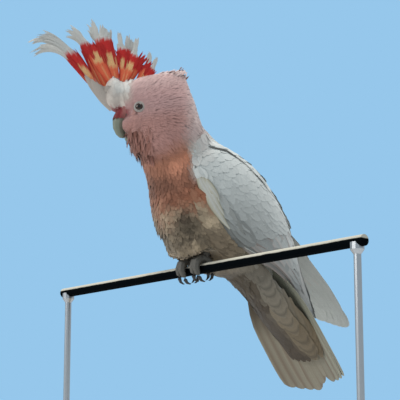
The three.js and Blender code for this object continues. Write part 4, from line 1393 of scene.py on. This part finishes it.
def front_band():
    """Short red feathers that lie from the forehead over the root of the bill."""
    count = 340
    bearing = np.radians(RNG.uniform(-80, 80, count))
    u = np.linspace(0, 1, 7)[None, :]
    z = RNG.uniform(-8.5, -1.5, count)[:, None] - 6 * u
    out = FACE * np.cos(bearing)[:, None] + FACE_LEFT * np.sin(bearing)[:, None]
    centre = head(np.full_like(z, 28), np.zeros_like(z), z)
    reach = np.zeros_like(z)
    for i in range(count):
        for j in range(z.shape[1]):
            start = Vector(centre[i, j] + out[i] * 0.05)
            for tree in (SKIN_TREE, BILL_TREE):
                hit = tree.ray_cast(start, Vector(-out[i]), 0.05)[3]
                if hit is not None:
                    reach[i, j] = max(reach[i, j], 50 - hit / MM)
    for _ in range(2):
        blur(reach.T)
    mid = centre + out[:, None, :] * ((reach + 0.6 + 0.5 * u) * MM)[..., None]
    normal = np.repeat(out[:, None, :], 7, axis=1)
    base = np.tile(COLOUR["front_band"], (count, 1)) * RNG.uniform(0.85, 1.1, (count, 1))
    base = mix(base, COLOUR["rose_cheek"], 0.55 * smooth(np.degrees(np.abs(bearing)), 40, 78))

    def tint(u, v):
        return base[:, None, :] * (0.9 + 0.15 * u)[None, :, None]

    return build_vanes("front_band", mid, normal, RNG.uniform(1.6, 2.4, count) * MM, [0.4, 0.8, 1, 1, 0.9, 0.7, 0.4], 4,
                       tint, fitted(unwrap(mid[:, 0])), ragged=0.3, thick=0.12, soft=0.85)


def face_feathers():
    made = []
    # the white puff between the bill and the crest, cream along its front
    roots = head_roots((24, 54), (0, 14), (-4, 32), 900)
    t, d, l, f, s, z = body_coords(roots)
    roots = roots[(f > 25) & (z > -3)]
    t, d, l, f, s, z = body_coords(roots)
    front = smooth(f - 0.42 * z, 31, 42)
    aim = UP * 0.95 + FACE * (0.10 + 0.16 * front)[:, None] - FACE_LEFT * (0.01 * s)[:, None]
    size = RNG.uniform(5, 7, len(roots)) + 2 * front
    colour = mix(np.tile(COLOUR["puff"], (len(roots), 1)), COLOUR["forehead"], np.maximum(front, 1 - smooth(z, 2, 12)) * 0.9)
    made.append(loose("forehead_puff", roots, aim, size, size * 0.42, 0.06, colour, 0.15, (0.98, 0.03),
                      disorder=0.1))
    # cheek feathers that reach forward over the base of the bill
    roots = head_roots((11, 20), (8, 22), (-27, -8), 380)
    t, d, l, f, s, z = body_coords(roots)
    aim = FACE * 0.75 - UP * 0.62 - FACE_LEFT * (0.015 * s)[:, None]
    size = RNG.uniform(5, 8, len(roots))
    rim = smooth(z, -14, -8) * smooth(f, 20, 26) * 0.6
    colour = mix(np.tile(COLOUR["rose_cheek"], (len(roots), 1)), COLOUR["front_band"], rim)
    made.append(loose("cheek_fans", roots, aim, size, size * 0.28, 0.2, colour, 0.3))
    # the loose beard under the bill
    roots = head_roots((0, 26), (0, 20), (-42, -24), 520)
    t, d, l, f, s, z = body_coords(roots)
    aim = -UP * 0.95 + FACE * 0.12 + AFT * 0.15
    size = RNG.uniform(9, 15, len(roots))
    # painted shade under the bill, from the beard colour
    colour = mix(plumage(roots), COLOUR["beard"], 0.4 + 0.6 * RNG.random(len(roots)))
    made.append(loose("beard", roots, np.tile(aim, (len(roots), 1)), size, size * 0.2, 0.2, colour, 0.35, (0.86, 0.18)))
    # a few pale tips at the back of the crown
    roots = head_roots((-27, -2), (0, 11), (29, 42), 190)
    aim = UP * 0.75 - FACE * 0.7 * np.ones((len(roots), 1))
    size = RNG.uniform(6, 10, len(roots))
    colour = np.tile(mix(COLOUR["rose_crown"], COLOUR["nape"], 0.5), (len(roots), 1))
    made.append(loose("crown_tuft", roots, aim, size, size * 0.34, 0.11, colour, 0.30, (0.98, 0.05)))
    made.append(front_band())
    return made


# ---------------------------------------------------------------- eyes, bill, feet
def ball(name, place, radius, segments=48, rings=32):
    deselect()
    bpy.ops.mesh.primitive_uv_sphere_add(segments=segments, ring_count=rings, radius=radius, location=place)
    obj = added(name)
    bpy.ops.object.shade_smooth()
    return obj


def make_eye(side, sign):
    low, high = (np.array(c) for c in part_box(side + "_eye"))
    centre, radius = (low + high) / 2, float((high - low)[2] / 2)
    look = unit(0.22 * FACE + sign * FACE_LEFT + 0.03 * UP)
    turn_to = Vector(look).to_track_quat("Z", "Y").to_euler()
    eye = ball(side + "_eyeball", centre, radius * 0.98)
    eye.rotation_euler = turn_to
    settle(eye)
    rel = (tree_of(eye)[1] - centre) / radius
    facing = np.degrees(np.arccos(np.clip(rel @ look / np.linalg.norm(rel, axis=1), -1, 1)))
    colours = mix(np.tile(linear("#0b0807"), (len(rel), 1)), linear("#3a2216"), smooth(facing, 17, 20))
    colours = mix(colours, linear("#120c0a"), smooth(facing, 36, 41))
    colour_points(eye, colours)
    finish_with(eye, EYE_FINISH, "eye_gloss", side + "_eye")
    deselect()
    bpy.ops.mesh.primitive_torus_add(
        major_segments=48, minor_segments=12, major_radius=radius * 0.80, minor_radius=radius * 0.10,
        location=centre + look * radius * 0.66, rotation=turn_to,
    )
    lid = added(side + "_eye_ring")
    lid.scale = (1.02, 0.92, 1)
    settle(lid)
    bpy.ops.object.shade_smooth()
    finish_with(lid, LID_FINISH, "foot_skin")
    deselect()
    bpy.ops.mesh.primitive_torus_add(
        major_segments=48, minor_segments=10, major_radius=radius * 0.95, minor_radius=radius * 0.12,
        location=centre + look * radius * 0.58, rotation=turn_to,
    )
    skin_ring = added(side + "_eye_skin")
    settle(skin_ring)
    bpy.ops.object.shade_smooth()
    finish_with(skin_ring, LID_FINISH, "foot_skin")


def smooth_copy(name, nodes, voxel, rounds):
    """A smooth piece in the place of faceted solids; voxel is in mm."""
    obj = joined(name, [linked(name, NODE[node].data.copy()) for node in nodes])
    remesh(obj, voxel * MM, rounds)
    bpy.ops.object.shade_smooth()
    return obj


EYE_FINISH, eye_shader, _, eye_colour = surface("Eye", 0.06, 0.0, attribute="Plumage")
feed(EYE_FINISH.node_tree, eye_shader, {"Base Color": eye_colour, "Coat Weight": 0.15})
LID_FINISH = grained_material("Bare eye skin", "#b0a8a1", 0.6, 900, 0.3, 0.35)
BILL_FINISH = grained_material("Horn bill", "#828778", 0.42, 160, 0.25, 0.12)
FOOT_FINISH = grained_material("Foot skin", "#625f59", 0.7, 500, 0.8, 0.6)
CLAW_FINISH = grained_material("Horn claws", "#37383a", 0.35, 300, 0.3, 0.1)
WIRE_FINISH = wire_with_painted_highlight()
WOOD_FINISH = grained_material("Painted wood", "#b9aa93", 0.5, 40, 0.25, 0.1)
STEEL_FINISH = grained_material("Brushed steel", "#c9ccd0", 0.3, 300, 0.1, 0.05, metallic=1.0)

plume = feather_material("Body plumage", 60, 0.10)
fine = feather_material("Head plumage", 30, 0.05, roughness=0.9, sheen=0.4, shaft=0.0, bump=0.05)
quill = feather_material("Flight feathers", 260, 0.04, roughness=0.6, sheen=0.1, shaft=0.06, bump=0.2)
plate = feather_material("Wing coverts", 90, 0.04, roughness=0.65, sheen=0.15, shaft=0.03, bump=0.15)
crest_finish = feather_material("Crest feathers", 150, 0.10, roughness=0.8, sheen=0.2, shaft=0.04, bump=0.3)

for coat in body_coat():
    finish_with(coat, fine if coat.name in ("coat_crown", "coat_face") else plume, "feather_salmon")
for side, sign in (("left", 1), ("right", -1)):
    sheet = SHEETS[side + "_wing"]
    finish_with(wing_coverts(side + "_wing_coverts", sheet), plate, "feather_white")
    finish_with(wing_flights(side + "_flight_feathers", sheet), quill, "feather_white")
    finish_with(alula(side + "_alula", sheet), plate, "feather_white")
    finish_with(scapular_shadow(side + "_scapular_shadow", sheet), plate, "feather_white")
    finish_with(flank_fan(side + "_flank_fan", sheet), plume, "feather_buff")
    make_eye(side, sign)
    foot = smooth_copy(side + "_foot_skin", [side + "_foot"], 0.6, 4)
    finish_with(foot, FOOT_FINISH, "foot_skin", side + "_foot")
    claws = [side + "_claw_" + which for which in ("inner_front", "outer_front", "inner_back", "outer_back")]
    finish_with(smooth_copy(side + "_claws", claws, 0.35, 2), CLAW_FINISH, "claw_horn", *claws)
finish_with(tail_feathers(), quill, "feather_buff", "tail")
finish_with(tail_coverts(), plate, "feather_buff")
blades, wisps = crest_feathers()
finish_with(blades, crest_finish, "feather_crest", "crest")
finish_with(wisps, crest_finish, "feather_crest")
for part in face_feathers():
    finish_with(part, fine, "feather_pink")
for name in ("upper_bill", "lower_bill"):
    finish_with(smooth_copy(name + "_horn", [name], 0.5, 5), BILL_FINISH, "bill_horn", name)
for node, material in (("perch_wire", WIRE_FINISH), ("stand_base", WOOD_FINISH),
                       ("stand_rod_left", STEEL_FINISH), ("stand_rod_right", STEEL_FINISH)):
    NODE[node].data.materials.clear()
    NODE[node].data.materials.append(material)
